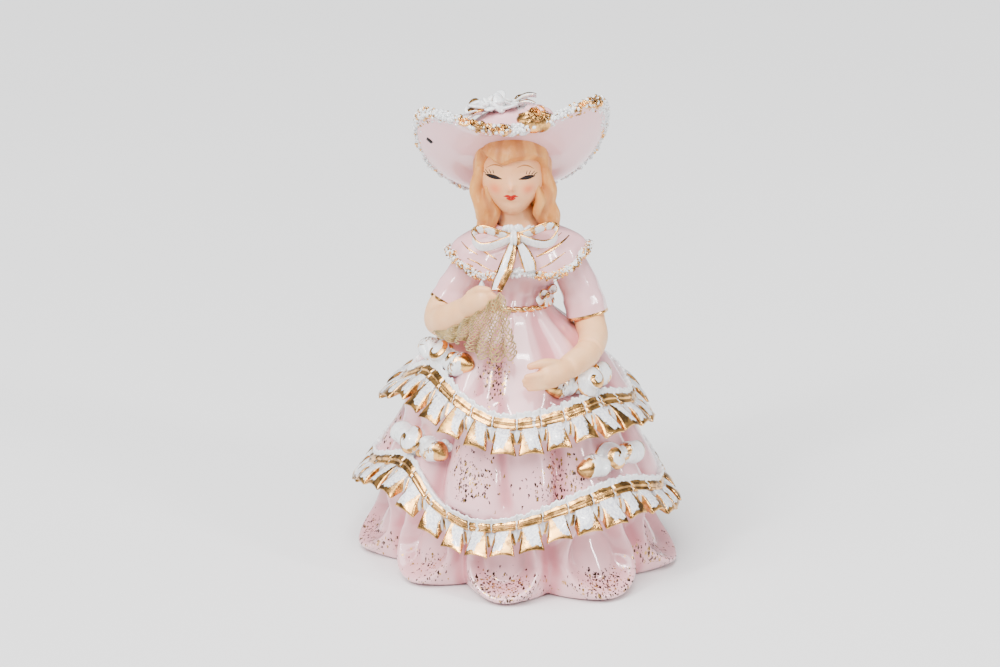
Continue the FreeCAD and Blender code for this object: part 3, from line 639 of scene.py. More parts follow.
def make_skirt():
    """Hollow skirt: flecked pink glaze outside and raw inside."""
    heights = np.concatenate([np.linspace(0, 1.2, 6), np.linspace(1.6, 24, 76), np.linspace(24.5, 71.5, 82)])
    angles = round_degrees(720)
    angle, height = np.meshgrid(angles, heights)
    radius = skirt_radius(angle, height)
    outer = around(angle, radius, height)
    plain, flute = plain_bell(angle, height)
    hollow = np.minimum(plain - BELL_WALL - 0.9 * flute * (1 - crest(angle)), radius - 1.4)
    inner = around(angle, hollow, height)
    points, faces = shell(outer, inner)
    fleck = 0 * angle
    for centre, middle, wide, high, density in FLECK_PATCHES:
        fleck += density * bump(nearest_turn(angle, centre), 0, wide) * bump(height, middle, high)
    fleck += 0.30 * bump(off_petal_middle(angle, height), 1.12, 0.16) * smooth(9, 4, height)
    # painted shade: deeper pink in the lobes' creases, in the dips of the middle folds and round the petal dishes
    deep = smooth(0.35, 0.0, crest(angle)) * smooth(26, 15, height)
    dip = (plain - radius) / np.maximum(flute, 0.5)
    deep = deep + 0.7 * smooth(0.5, 1.6, dip) * smooth(20, 27, height)
    deep = deep + 0.45 * bump(off_petal_middle(angle, height), 0.86, 0.22) * smooth(24, 14, height)
    empty = np.zeros(angle.size)
    values = {"fleck": np.concatenate([fleck.ravel(), empty]), "deep": np.concatenate([deep.ravel(), empty])}
    piece = new_piece("skirt", points, faces, LOOK["pink"], values)
    piece.data.materials.append(LOOK["raw"])
    for polygon in piece.data.polygons:
        out = Vector((polygon.center.x, polygon.center.y, 0)).normalized()
        inside = polygon.normal.dot(out) < -0.05 and polygon.normal.z < 0.9
        polygon.material_index = 1 if inside else 0
    return finish_piece(piece, ["skirt_bell"])


# ---------------------------------------------------------------- ruffles
UPPER_SWAG = [(-135, 51), (-102, 48.5), (-64, 55.2), (-3, 47.6), (46, 50.2), (86, 46), (132, 50.5), (180, 46.5)]
LOWER_SWAG = [(-140, 28), (-100, 25), (-58, 31.6), (-20, 20.6), (41, 28.8), (84, 22), (132, 28), (178, 21)]


def swag_height(angle, swag):
    """Height of a ruffle at each angle, eased between its peaks and dips."""
    places = [(place + turn, height) for turn in (-360, 0, 360) for place, height in swag]
    starts = np.array([place for place, _ in places])
    levels = np.array([level for _, level in places])
    index = np.clip(np.searchsorted(starts, angle, side="right") - 1, 0, len(places) - 2)
    share = (angle - starts[index]) / (starts[index + 1] - starts[index])
    return levels[index] + (levels[index + 1] - levels[index]) * (1 - np.cos(np.pi * share)) / 2


def ruffle_noise(count, seed):
    """One random number for each pleat."""
    source = random.Random(seed)
    return np.array([source.uniform(-1, 1) for _ in range(count)])


def pleat_half(t, root, flare):
    """Half a width of a pleat, as a share of the pitch, at a share t of its drop."""
    return 0.5 * (root + flare * t)


PLEAT_BASE = (0.46, 0.27)  # width where it leaves the valley, and how much it widens
PLEAT_FACE = (0.54, 0.33)


def pleat_section(t):
    """One pleat seen from above at a share t of its drop: places across the pitch and shares of its reach."""
    base, face = pleat_half(t, *PLEAT_BASE), pleat_half(t, *PLEAT_FACE)
    half = [(face * 0.93, 1.0), (face, 0.9), (base, 0.03), (0.5, 0.0)]
    corners = [(-place, reach) for place, reach in half[::-1]] + half
    counts = [3, 8, 2, 16, 2, 8, 3]
    across, reach = [], []
    for (a, b), (c, d), count in zip(corners, corners[1:], counts):
        for step in range(count):
            share = step / count
            across.append(a + (c - a) * share)
            reach.append(b + (d - b) * share)
    return np.array(across), np.array(reach)


def over_ruffles(angle, height):
    """Radius of the skirt under the ruffles, its creases shallow."""
    base, flute = plain_bell(angle, height)
    return base - 0.35 * flute * (1 - crest(angle))


def make_ruffle_pleats(name, swag, count, seed):
    """One continuous strip folded into hollow box pleats that flare from under the band."""
    steps = len(pleat_section(0.0)[0])
    columns = count * steps
    pleat = np.repeat(np.arange(count), steps)
    lean, proud, drop, dab = (ruffle_noise(count, seed + k)[pleat] for k in range(4))
    rows = 20
    sides = []
    for side in (1, -1):
        grid = np.zeros((rows, columns, 3))
        gold = np.zeros((rows, columns))
        for row in range(rows):
            t = row / (rows - 1)
            across, reach = (np.tile(values, count) for values in pleat_section(t))
            tip = 1.0 + 5.1 * t ** 0.9 * (1 + 0.10 * proud)
            valley = 0.35 + 1.1 * t
            bulge = 0.55 * np.sin(np.pi * t) * reach * (1 - 0.5 * (across / 0.4) ** 2)
            out = valley + (tip - valley) * reach + bulge + side * 0.36 * (1 - 0.35 * smooth(0.9, 1.0, t))
            place = pleat + 0.5 + across * (1 + side * 0.03 * reach) + 0.045 * t * lean * reach
            angle = -180 + 360 * place / count
            middle = -180 + 360 * (pleat + 0.5) / count
            level = swag_height(angle, swag) * (1 - 0.5 * t) + swag_height(middle, swag) * 0.5 * t
            height = level - 1.0 - (4.2 + 0.5 * reach + 0.7 * (across / 0.42) ** 2 * reach + 0.45 * drop * reach) * t
            grid[row] = around(angle, over_ruffles(angle, height) + out, height)
            inner_face = smooth(0.75, 0.97, reach)
            rim = smooth(0.72, 0.86, t + 0.04 * np.sin(23 * across + 9 * dab)) * (0.25 + 0.75 * inner_face)
            flank = bump(np.abs(across), pleat_half(t, *PLEAT_FACE), 0.07) * smooth(0.05, 0.4, t)
            spread = np.sign(dab) * across / 0.36 + 0.9 * t - 0.35 + 0.6 * (np.abs(dab) - 0.4)
            wash = 0.72 * smooth(-0.25, 0.75, spread) * inner_face
            painted = np.clip(np.maximum(np.maximum(rim, flank), wash), 0, 1)
            gold[row] = painted if side > 0 else 0.35 * rim
        sides.append((grid, gold))
    points, faces = shell(sides[0][0], sides[1][0])
    gold = np.concatenate([values.ravel() for _, values in sides])
    piece = new_piece(f"{name}_ruffle", points, faces, LOOK["brushed"], {"gold": gold})
    return finish_piece(piece, [f"{name}_ruffle_pleats"])


def make_ruffle_band(name, swag, count, seed):
    """Gathered header: a gold band pinched once to a pleat, with a ragged white frill above it."""
    steps = 28
    columns = count * steps
    place = np.arange(columns) / steps
    pleat = place.astype(int)
    phase = place - pleat
    tall, deep = (ruffle_noise(count, seed + 10 + k)[pleat] for k in range(2))
    pinch = bump(phase, 0.0, 0.045) + bump(phase, 1.0, 0.045)
    frill = 0.5 * np.cos(4 * np.pi * phase + deep) + 0.35 * np.cos(10 * np.pi * phase + 2 * tall)
    cross = 0.5 * (bump(phase, 0.0, 0.16) + bump(phase, 1.0, 0.16))
    # height above the band's middle, distance out, share of frill movement, gold
    section = [
        (-1.5, 0.2, 0, 0.2), (-1.65, 0.9, 0, 0.9), (-1.35, 1.5, 0, 1), (-0.95, 1.65, 0, 1), (-0.5, 1.3, 0, 1),
        (-0.2, 1.15, 0, 1), (0.1, 1.45, 0, 1), (0.5, 1.6, 0, 1), (0.9, 1.35, 0, 1), (1.25, 1.05, 0.2, 0.85),
        (1.6, 1.0, 0.5, 0.25), (2.1, 1.15, 0.8, 0), (2.7, 1.5, 1.0, 0), (3.0, 1.4, 1.0, 0), (2.8, 0.8, 0.9, 0),
        (2.2, 0.3, 0.5, 0), (1.6, -0.5, 0, 0), (0, -0.8, 0, 0), (-1.2, -0.6, 0, 0),
    ]
    rows = []
    golds = []
    for rise, out, share, gold in section:
        angle = -180 + 360 * place / count
        lean = 1 - 0.45 * cross * (abs(rise) < 1.3)
        up = rise * lean + share * (0.42 * frill + 0.3 * tall - 0.4)
        height = swag_height(angle, swag) + up
        out = out - 0.55 * pinch * (out > 0.8) + 0.3 * cross * (abs(rise) < 1) + share * 0.4 * frill * deep
        rows.append(around(angle, over_ruffles(angle, height) + out, height))
        worn = 0.55 * smooth(0.35, 0.9, deep) * bump(phase, 0.5 + 0.3 * tall, 0.14)
        golds.append(gold * (1 - 0.7 * pinch) * (1 - worn))
    points = np.array(rows).reshape(-1, 3)
    faces = ring_faces(len(rows), columns)
    piece = new_piece(f"{name}_header", points, faces, LOOK["gilt"], {"gold": np.array(golds).ravel()})
    return finish_piece(piece, [f"{name}_ruffle_band"])


# ---------------------------------------------------------------- torso
BODICE = np.array([
    (71.5, 9.2, 8.6, 0, 0), (75, 9.4, 8, 0.5, 0.8), (80, 11.4, 9, 0.9, 1), (85, 13, 9.2, 1, 1.2),
    (89, 11.8, 7.6, 0.9, 1.2), (92, 5.8, 5.4, 0.6, 1),
])
COLLAR = np.array([
    (82.2, 18.4, 12.4, 0.7, 1.2), (86.5, 16.6, 10.9, 0.8, 1.2), (90.5, 11.5, 8.6, 0.8, 1.2), (93, 6.6, 6.3, 0.6, 1),
])


def oval_rows(table, count, angles, shrink=0.0):
    """Ellipses between those of a table, as a grid of points."""
    rows = spline_through(table, count)[:, :, None]
    turn = np.radians(angles)[None, :]
    across = rows[:, 3] + (rows[:, 1] - shrink) * np.sin(turn)
    back = rows[:, 4] - (rows[:, 2] - shrink) * np.cos(turn)
    return np.stack([across, back, rows[:, 0] + 0 * turn], -1)


def make_bodice():
    """Torso with a fitted waist and soft gathers."""
    angles = round_degrees(180)
    outer = oval_rows(BODICE, 60, angles)
    inner = oval_rows(BODICE, 60, angles, 2.4)
    rise = outer[:, :, 2]
    gather = 0.22 * np.cos(np.radians(angles) * 16)[None, :] * smooth(80, 72.5, rise)
    outer = outer + around(angles, 1, 0)[None] * (gather - 0.12)[:, :, None]
    points, faces = shell(outer, inner)
    # painted shade: deeper pink in the hollows of the gathers
    deep = np.concatenate([smooth(0.1, -0.2, gather).ravel(), np.zeros(gather.size)])
    piece = new_piece("bodice_form", points, faces, LOOK["pink"], {"deep": 0.5 * deep})
    return finish_piece(piece, ["bodice"])


def make_waist_cord():
    """Twisted cord round the waist, gilt on every other strand."""
    count, sides = 360, 18
    turn = full_turn(count)[:, None]
    side = full_turn(sides)[None, :]
    strand = np.cos(2 * side + 26 * turn)
    radius = 0.80 + 0.10 * strand
    reach = radius * np.cos(side)
    points = np.stack([
        (9.5 + reach) * np.cos(turn), (8.9 + reach) * np.sin(turn), 71.6 + radius * np.sin(side) + 0 * turn
    ], -1)
    gold = smooth(-1.3, -0.5, strand).ravel()
    faces = ring_faces(count, sides)
    piece = new_piece("waist_cord", points.reshape(-1, 3), faces, LOOK["gilt"], {"gold": gold})
    return finish_piece(piece, ["waist_band"])


def collar_edge(angles):
    """Height of the collar's lower edge: low in front, swept up over the arms."""
    side = np.abs(angles)
    arms = 2.6 * bump(side, 88, 40) + 1.6 * bump(angles, 84, 34)
    return 82.6 + arms - 1.7 * bump(side, 32, 22) + 0.5 * bump(angles, 0, 18)


def collar_grid(angles, shrink=0.0):
    """Grid of the collar from its lower edge up to the neck."""
    rows = oval_rows(COLLAR, 50, angles, shrink)
    low = collar_edge(angles)[None, :]
    bottom, neck = COLLAR[0, 0], COLLAR[-1, 0]
    share = (rows[:, :, 2] - bottom) / (neck - bottom)
    rows[:, :, 2] = low + share * (neck - low)
    fold = 0.35 * np.cos(np.radians(angles) * 13 + 0.6)[None, :] * smooth(0.75, 0.0, share)
    turn = np.radians(angles)
    rows[:, :, 0] += fold * np.sin(turn)
    rows[:, :, 1] -= fold * np.cos(turn)
    return rows


def make_collar():
    """Shoulder collar with shallow folds."""
    angles = round_degrees(240)
    outer = collar_grid(angles)
    inner = collar_grid(angles, 1.3)
    inner[:, :, 2] -= 0.35
    points, faces = shell(outer, inner)
    piece = new_piece("collar", points, faces, LOOK["pink"])
    finish_piece(piece, ["capelet"])
    ground = Ground(piece)
    strokes = Parts()
    for places, widths in (
        ([(-14.6, 88.4), (-12.6, 87.3), (-10.2, 86.2)], [0.15, 0.5, 0.2]),
        ([(-11.2, 88.6), (-8.4, 87.2), (-5.2, 85.6)], [0.15, 0.65, 0.3]),
        ([(-13.0, 85.0), (-9.6, 84.0), (-6.0, 82.4)], [0.2, 0.5, 0.2]),
        ([(5.6, 88.2), (8.8, 89.6), (12.0, 91.0)], [0.3, 0.55, 0.15]),
        ([(5.2, 86.4), (10.2, 88.2), (15.4, 91.0)], [0.4, 0.9, 0.3]),
        ([(6.0, 83.4), (9.4, 84.8), (13.0, 86.8)], [0.2, 0.5, 0.15]),
    ):
        paint_stroke(strokes, ground, ground.seen_path(places, 16), widths, gold=1.0)
    return strokes.finish("collar_gilding", "gilt", "gilt_porcelain")


# ---------------------------------------------------------------- crumbed trims
def crumb_mesh():
    """The twelve corners and twenty faces of one crumb."""
    work = bmesh.new()
    bmesh.ops.create_icosphere(work, subdivisions=1, radius=1)
    points = np.array([tuple(v.co) for v in work.verts])
    faces = [tuple(v.index for v in face.verts) for face in work.faces]
    work.free()
    return points, faces


CRUMB = crumb_mesh()


def scatter_crumbs(parts, place, count, source, gold_share, size):
    """Heap crumbs where the place function puts them: it gives a point for a turn and two random numbers."""
    points, faces = CRUMB
    for _ in range(count):
        turn = source.uniform(0, 2 * math.pi)
        centre = np.array(place(turn, source.uniform(-1, 1), source.uniform(-1, 1)))
        stretch = np.array([source.uniform(0.75, 1.25) for _ in range(3)])
        radius = source.uniform(*size)
        turned = source.uniform(0, 3.14)
        axis = Vector((source.random(), source.random(), 0.3)).normalized()
        shape = (points * stretch * radius) @ np.array(Matrix.Rotation(turned, 3, axis))
        parts.add(shape + centre, faces, gold=1.0 if source.random() < gold_share(turn) else 0.0)


def ring_tube(centres, outward, radius, sides=10):
    """Points and faces of a closed tube round a ring of centres."""
    centres = np.asarray(centres)
    along = unit(np.roll(centres, -1, 0) - np.roll(centres, 1, 0))
    out = unit(outward - along * (outward * along).sum(1, keepdims=True))
    up = np.cross(along, out)
    turn = full_turn(sides)[None, :, None]
    grid = centres[:, None] + radius * (out[:, None] * np.cos(turn) + up[:, None] * np.sin(turn))
    return grid.reshape(-1, 3), ring_faces(len(centres), sides)


def between(rows, share):
    """A place at a share of the way round a closed list of points, and the index before it."""
    step = share * len(rows)
    index = int(step) % len(rows)
    part = step % 1
    return rows[index] * (1 - part) + rows[(index + 1) % len(rows)] * part, index


def make_collar_trim():
    """Crumbed trim along the collar's edge, thickest and most gilded in front."""
    angles = round_degrees(160)
    edge = collar_grid(angles)[0]
    outward = around(angles, 1, 0)

    def place(turn, a, b):
        base, index = between(edge, turn / (2 * math.pi))
        return base + outward[index] * (0.85 * a + 0.25) + np.array([0, 0, b - 0.1])

    parts = Parts()
    points, faces = ring_tube(edge, outward, 0.85)
    parts.add(points, faces, gold=0.0)

    def gold_share(turn):
        angle = math.degrees(turn) - 180
        if abs(angle) < 12:
            return 0.2
        return 0.62 if -75 < angle < 80 else 0.45

    scatter_crumbs(parts, place, 2000, random.Random(11), gold_share, (0.26, 0.56))
    return parts.finish("collar_crumbs", "gilt", "gilt_porcelain", "capelet_trim")


# ---------------------------------------------------------------- hat
CROWN = np.array([-1.3, 1.5, 110.0])
TILT = math.radians(37)
CROWN_FOOT = 13.2
BRIM_THICK = 1.8


def tilted_point(turn, reach, lift):
    """A point round the crown's tilted axis."""
    forward = reach * np.sin(turn)
    return CROWN + np.stack([
        reach * np.cos(turn) + 0 * lift,
        -forward * math.cos(TILT) + math.sin(TILT) * lift,
        forward * math.sin(TILT) + math.cos(TILT) * lift,
    ], -1)


def rim_point(turn):
    """A point on the saddle-shaped rim; the turn runs from +X to the front."""
    front, side = np.sin(turn), np.cos(turn)
    rise = 13.2 * front + 0.6 * smooth(0.5, 1.0, front) + 1.7 * np.sin(3 * turn)
    rise = rise + 6.2 * np.cos(2 * turn) + 1.7 * side - 2.3 * side ** 2
    return np.stack([-1.3 + 24.5 * side, 2.5 - 15.5 * front, 114.5 + rise], -1)


def brim_point(turn, share, lift):
    """A point across the brim from its root, share 0, to its rim, share 1."""
    root = tilted_point(turn, CROWN_FOOT, lift + 1.4 * smooth(0.2, 0.9, np.sin(turn)))
    rim = rim_point(turn) + tilted_point(turn, 0 * turn, lift) - CROWN
    drop = 6.0 * share * (1 - share) * (1 - 0.9 * smooth(0.3, 0.9, np.sin(turn)))
    sag = tilted_point(turn, 0 * turn, drop) - CROWN
    return root + (rim - root) * share - sag


def make_hat():
    """Wide glossy brim round a low crown."""
    turn = full_turn(288)
    level = 0 * turn
    rows = []
    for rise in np.linspace(88, 12, 16):
        lift = 14 * math.sin(math.radians(rise))
        rows.append(tilted_point(turn, 14.5 * math.cos(math.radians(rise)) + level, lift + level))
    for share in np.linspace(0.06, 1.0, 22):
        ripple = 0.12 * np.sin(5 * turn + 1.2) * share
        rows.append(brim_point(turn, share, BRIM_THICK + ripple))
    outward = unit(rim_point(turn) - tilted_point(turn, CROWN_FOOT + level, level))
    for step in (30, 60, 90, 120, 150):
        bend = math.radians(step)
        lip = brim_point(turn, 1.0, BRIM_THICK * (0.5 + 0.5 * math.cos(bend)) + level)
        rows.append(lip + outward * (0.75 * math.sin(bend)))
    for share in np.linspace(1.0, 0.0, 22):
        rows.append(brim_point(turn, share, 0.12 * np.sin(5 * turn + 1.2) * share))
    rows.append(tilted_point(turn, 5 + level, level))
    points = np.array(rows).reshape(-1, 3)
    values = {"fleck": np.zeros(len(points))}
    piece = new_piece("hat_form", points, capped_faces(len(rows), len(turn)), LOOK["pink"], values)
    finish_piece(piece, ["hat"])
    ground = Ground(piece)
    mark = Parts()
    path = ground.seen_path([(-23.6, 116.0), (-23.1, 115.6), (-22.6, 115.2), (-22.2, 114.8)], 4)
    paint_stroke(mark, ground, path, [1.5, 1.8, 1.5], 0.12)
    return mark.finish("hat_mark", "eye", "pink_porcelain")


# middle turn, half width and gilded share of each patch of crumbs on the rim
HAT_GOLD = [
    (-0.42, 0.22, 0.15), (0.62, 0.22, 0.75), (1.85, 0.26, 0.75), (2.75, 0.3, 0.3), (3.5, 0.25, 0.15),
    (4.4, 0.3, 0.12), (5.1, 0.25, 0.15),
]


def hat_gold(turn):
    """How gilded the rim's crumbs are at a turn."""
    for centre, wide, share in HAT_GOLD:
        if abs((turn - centre + math.pi) % (2 * math.pi) - math.pi) < wide:
            return share
    return 0.08


def make_hat_trim():
    """Crumbed trim heaped on the rim's upper side."""
    turns = full_turn(220)
    level = 0 * turns
    centres = brim_point(turns, 0.985, 0.62 * BRIM_THICK + level)
    outward = rim_point(turns) - tilted_point(turns, CROWN_FOOT + level, level)
    up = tilted_point(turns, level, level + 1) - CROWN
    out = unit(outward)

    def place(turn, a, b):
        base, index = between(centres, turn / (2 * math.pi))
        heap = 0.3 * (1 - a * a) * (1 - 0.6 * math.sin(turn))
        return base + out[index] * (0.35 + 1.35 * a) + up[index] * (1.15 * b + heap)

    parts = Parts()
    points, faces = ring_tube(centres, outward, 0.8)
    parts.add(points, faces, gold=0.0)
    scatter_crumbs(parts, place, 4000, random.Random(5), hat_gold, (0.32, 0.64))
    return parts.finish("hat_crumbs", "gilt", "gilt_porcelain", "hat_trim")


# ---------------------------------------------------------------- painted lines
class Ground:
    """The skin of a piece, asked for its nearest point or for a path that is seen from the front."""

    def __init__(self, piece):
        mesh = piece.data
        mesh.calc_loop_triangles()
        corners = [v.co / MM for v in mesh.vertices]
        self.tree = BVHTree.FromPolygons(corners, [tuple(t.vertices) for t in mesh.loop_triangles])

    def nearest(self, point):
        """The closest point and its outward normal."""
        place, normal = self.tree.find_nearest(Vector(point))[:2]
        return np.array(place), np.array(normal)

    def seen_path(self, points, count):
        """A smooth path through places seen from the front, laid on the skin."""
        path = spline_through([(x, -60, z) for x, z in points], count)
        met = [self.tree.ray_cast(Vector(start), Vector((0, 1, 0)))[0] for start in path]
        return [np.array(place) for place in met if place]


# across in half widths, rise in shares of the paint's thickness
STROKE = [(-1, 0.25), (-0.6, 0.8), (0, 1), (0.6, 0.8), (1, 0.25), (0.5, -0.8), (-0.5, -0.8)]


def paint_stroke(parts, ground, path, widths, lift=0.07, **values):
    """A thin raised stroke of paint that follows the ground under a path."""
    path = np.asarray(path, float)
    count = len(path)
    along = np.gradient(path, axis=0)
    widths = np.interp(np.linspace(0, 1, count), np.linspace(0, 1, len(widths)), widths)
    rows = []
    for index in range(count):
        centre, normal = ground.nearest(path[index])
        side = unit(np.cross(normal, along[index]))[0]
        row = []
        for across, rise in STROKE:
            place = ground.nearest(centre + side * across * widths[index] / 2)[0]
            row.append(place + normal * rise * lift)
        rows.append(row)
    parts.add(np.array(rows).reshape(-1, 3), capped_faces(count, len(STROKE)), **values)


def ball(parts, centre, half, turn=None, rings=14, sides=20, **values):
    """An ellipsoid of points turned by a matrix."""
    lat = np.linspace(0, np.pi, rings)[:, None]
    lon = full_turn(sides)[None]
    points = np.stack([np.sin(lat) * np.cos(lon), np.sin(lat) * np.sin(lon), np.cos(lat) + 0 * lon], -1)
    points = (points * half).reshape(-1, 3)
    if turn is not None:
        points = points @ np.array(turn).T
    parts.add(points + centre, grid_faces(rings, sides), **values)


def tube(parts, path, radii, sides=14, **values):
    """A round-ended tube along a few stations."""
    count = max(10, 6 * len(path))
    line = spline_through(path, count)
    girth = np.interp(np.linspace(0, 1, count), np.linspace(0, 1, len(radii)), radii)
    points, faces = tube_parts(line, girth, sides)
    parts.add(points, faces, **values)


def spiral_petal(parts, where, start, turns, reach, thick, high, **values):
    """One rolled petal: a wall that spirals about a flower's middle."""
    centre, level, up, out = where
    count = 34
    inner, outer = [], []
    for step in range(count):
        share = step / (count - 1)
        turn = start + turns * 2 * math.pi * share
        radius = reach[0] + (reach[1] - reach[0]) * share
        height = high[0] + (high[1] - high[0]) * share
        wave = 0.12 * math.sin(5 * turn + start)
        for side, rows in ((-0.5, inner), (0.5, outer)):
            row = []
            for rise, lean in ((0, -0.1), (0.35, 0.0), (0.7, 0.12), (0.92, 0.2), (1.0, 0.24)):
                r = radius * (1 + lean * 0.5) + side * thick * (1 if rise < 0.95 else 0.35)
                flat = level * math.cos(turn) + up * math.sin(turn)
                row.append(centre + flat * r + out * (rise * height * (1 + wave)))
            rows.append(row)
    points, faces = shell(np.array(outer), np.array(inner), wrap=False)
    parts.add(points, faces, **values)


# ---------------------------------------------------------------- head
HEAD = np.array([-1.1, 0.2, 105.6])
HEAD_HALF = np.array([8.7, 9.0, 10.2])


def make_head():
    """Bisque head and neck with modelled features."""
    n = facing_sphere(130, 200)
    taper = 1 - 0.30 * smooth(-0.05, -1.0, n[:, :, 2])
    form = n * HEAD_HALF
    form[:, :, 0] *= taper
    points = (HEAD + form).reshape(-1, 3)
    x, z = points[:, 0], points[:, 2]
    front = smooth(0.15, 0.65, -n[:, :, 1].ravel())
    push = 1.4 * bump(x, -1.5, 1.1) * bump(z, 104.9, 1.0)
    push += 0.55 * bump(x, -1.5, 0.9) * smooth(103.6, 105.2, z) * smooth(109, 105.5, z)
    push -= 0.65 * (bump(x, -5.8, 2.0) + bump(x, 2.6, 2.0)) * bump(z, 108.6, 1.6)
    push += 0.28 * (bump(x, -6.0, 1.7) + bump(x, 2.7, 1.7)) * bump(z, 107.5, 0.8)
    push += 0.3 * bump(x, -1.5, 1.7) * (bump(z, 102.75, 0.5) + bump(z, 101.85, 0.5))
    push += 0.75 * bump(x, -1.2, 2.2) * bump(z, 98.8, 1.5) - 0.3 * bump(x, -1.3, 2.5) * bump(z, 100.7, 0.6)
    push += 0.5 * (bump(x, -5.6, 2.3) + bump(x, 2.9, 2.3)) * bump(z, 103.9, 2.2)
    points[:, 1] -= push * front
    parts = Parts()
    parts.add(points, grid_faces(130, 200))
    neck = [(0.6, 1, 90.2), (0.6, 1, 92.2), (0.2, 0.9, 94.6), (-0.4, 0.9, 97), (-0.8, 0.9, 100)]
    tube(parts, neck, [5.9, 5.9, 4.9, 4.5, 4.6], 32)
    piece = grow_together(parts.piece("head_form", LOOK["flesh"]), 0.2, 2)
    place = points_of(piece)
    x, y, z = place.T
    blush = (bump(x, -5.7, 1.7) + bump(x, 3.0, 1.7)) * bump(z, 104.5, 1.4)
    blush += 0.35 * bump(x, -1.5, 0.8) * bump(z, 105, 0.7)
    set_values(piece, "blush", (blush + 0.24 * smooth(97, 100, z)) * (y < -3))
    finish_piece(piece, ["head"])
    return piece


def make_face_paint(head):
    """Eyes, brows, lashes, nostrils and lips, each a thin stroke of enamel."""
    ground = Ground(head)

    def draw(parts, points, count, widths, lift=0.07):
        paint_stroke(parts, ground, ground.seen_path(points, count), widths, lift)

    dark = Parts()
    for lens, lashes in (
        ([(-3.8, 107.25), (-5.0, 107.42), (-6.2, 107.55), (-7.3, 107.62), (-8.2, 107.62)],
         [[(-8.0, 107.9), (-8.9, 108.3)], [(-7.4, 108.1), (-8.2, 108.75)],
          [(-6.7, 108.2), (-7.2, 109.0)], [(-6.0, 108.3), (-6.2, 109.1)]]),
        ([(0.5, 107.25), (1.7, 107.42), (2.8, 107.55), (3.9, 107.62), (4.8, 107.62)],
         [[(4.5, 107.9), (5.4, 108.3)], [(3.9, 108.1), (4.7, 108.75)],
          [(3.2, 108.2), (3.7, 109.0)], [(2.5, 108.3), (2.7, 109.1)]]),
    ):
        draw(dark, lens, 14, [0.15, 0.7, 1.1, 1.1, 0.7, 0.15])
        for lash in lashes:
            draw(dark, lash, 6, [0.26, 0.14], 0.05)
    dark.finish("eye_paint", "eye", "bisque_flesh")
    brown = Parts()
    for brow in (
        [(-7.9, 109.3), (-6.4, 110.3), (-5.0, 110.55), (-3.5, 110.2)],
        [(0.1, 110.2), (1.6, 110.6), (3.0, 110.35), (4.5, 109.4)],
    ):
        draw(brown, brow, 14, [0.12, 0.32, 0.36, 0.12], 0.05)
    for nostril in ([(-2.15, 104.15), (-1.9, 104.1)], [(-1.1, 104.1), (-0.85, 104.15)]):
        draw(brown, nostril, 4, [0.2, 0.2], 0.04)
    brown.finish("brow_paint", "brow", "bisque_flesh")
    lips = Parts()
    for path, widths in (
        ([(-3.4, 102.6), (-2.4, 102.72), (-1.5, 102.4)], [0.12, 0.9, 0.85]),
        ([(0.4, 102.6), (-0.6, 102.72), (-1.5, 102.4)], [0.12, 0.9, 0.85]),
        ([(-2.7, 102.15), (-1.5, 101.7), (-0.3, 102.15)], [0.3, 1.05, 0.3]),
    ):
        draw(lips, path, 12, widths)
    lips.finish("lip_paint", "lip", "bisque_flesh")


# ---------------------------------------------------------------- hair
HAIR = np.array([-1.1, 1.6, 106.0])


def hair_waves(points):
    """Height of the combed waves, -1 to 1, at each point."""
    x, y, z = (points - HAIR).T
    turn = np.arctan2(x, -y)
    side = np.sign(x)
    sway = 0.09 * np.sin(0.5 * z + 0.8 * side) * smooth(4, -2, z)
    fan = np.cos(11 * (turn + side * sway) + 0.10 * z)
    fine = np.cos(29 * (turn + side * sway * 1.1) + 1.0)
    return 0.82 * fan + 0.18 * fine


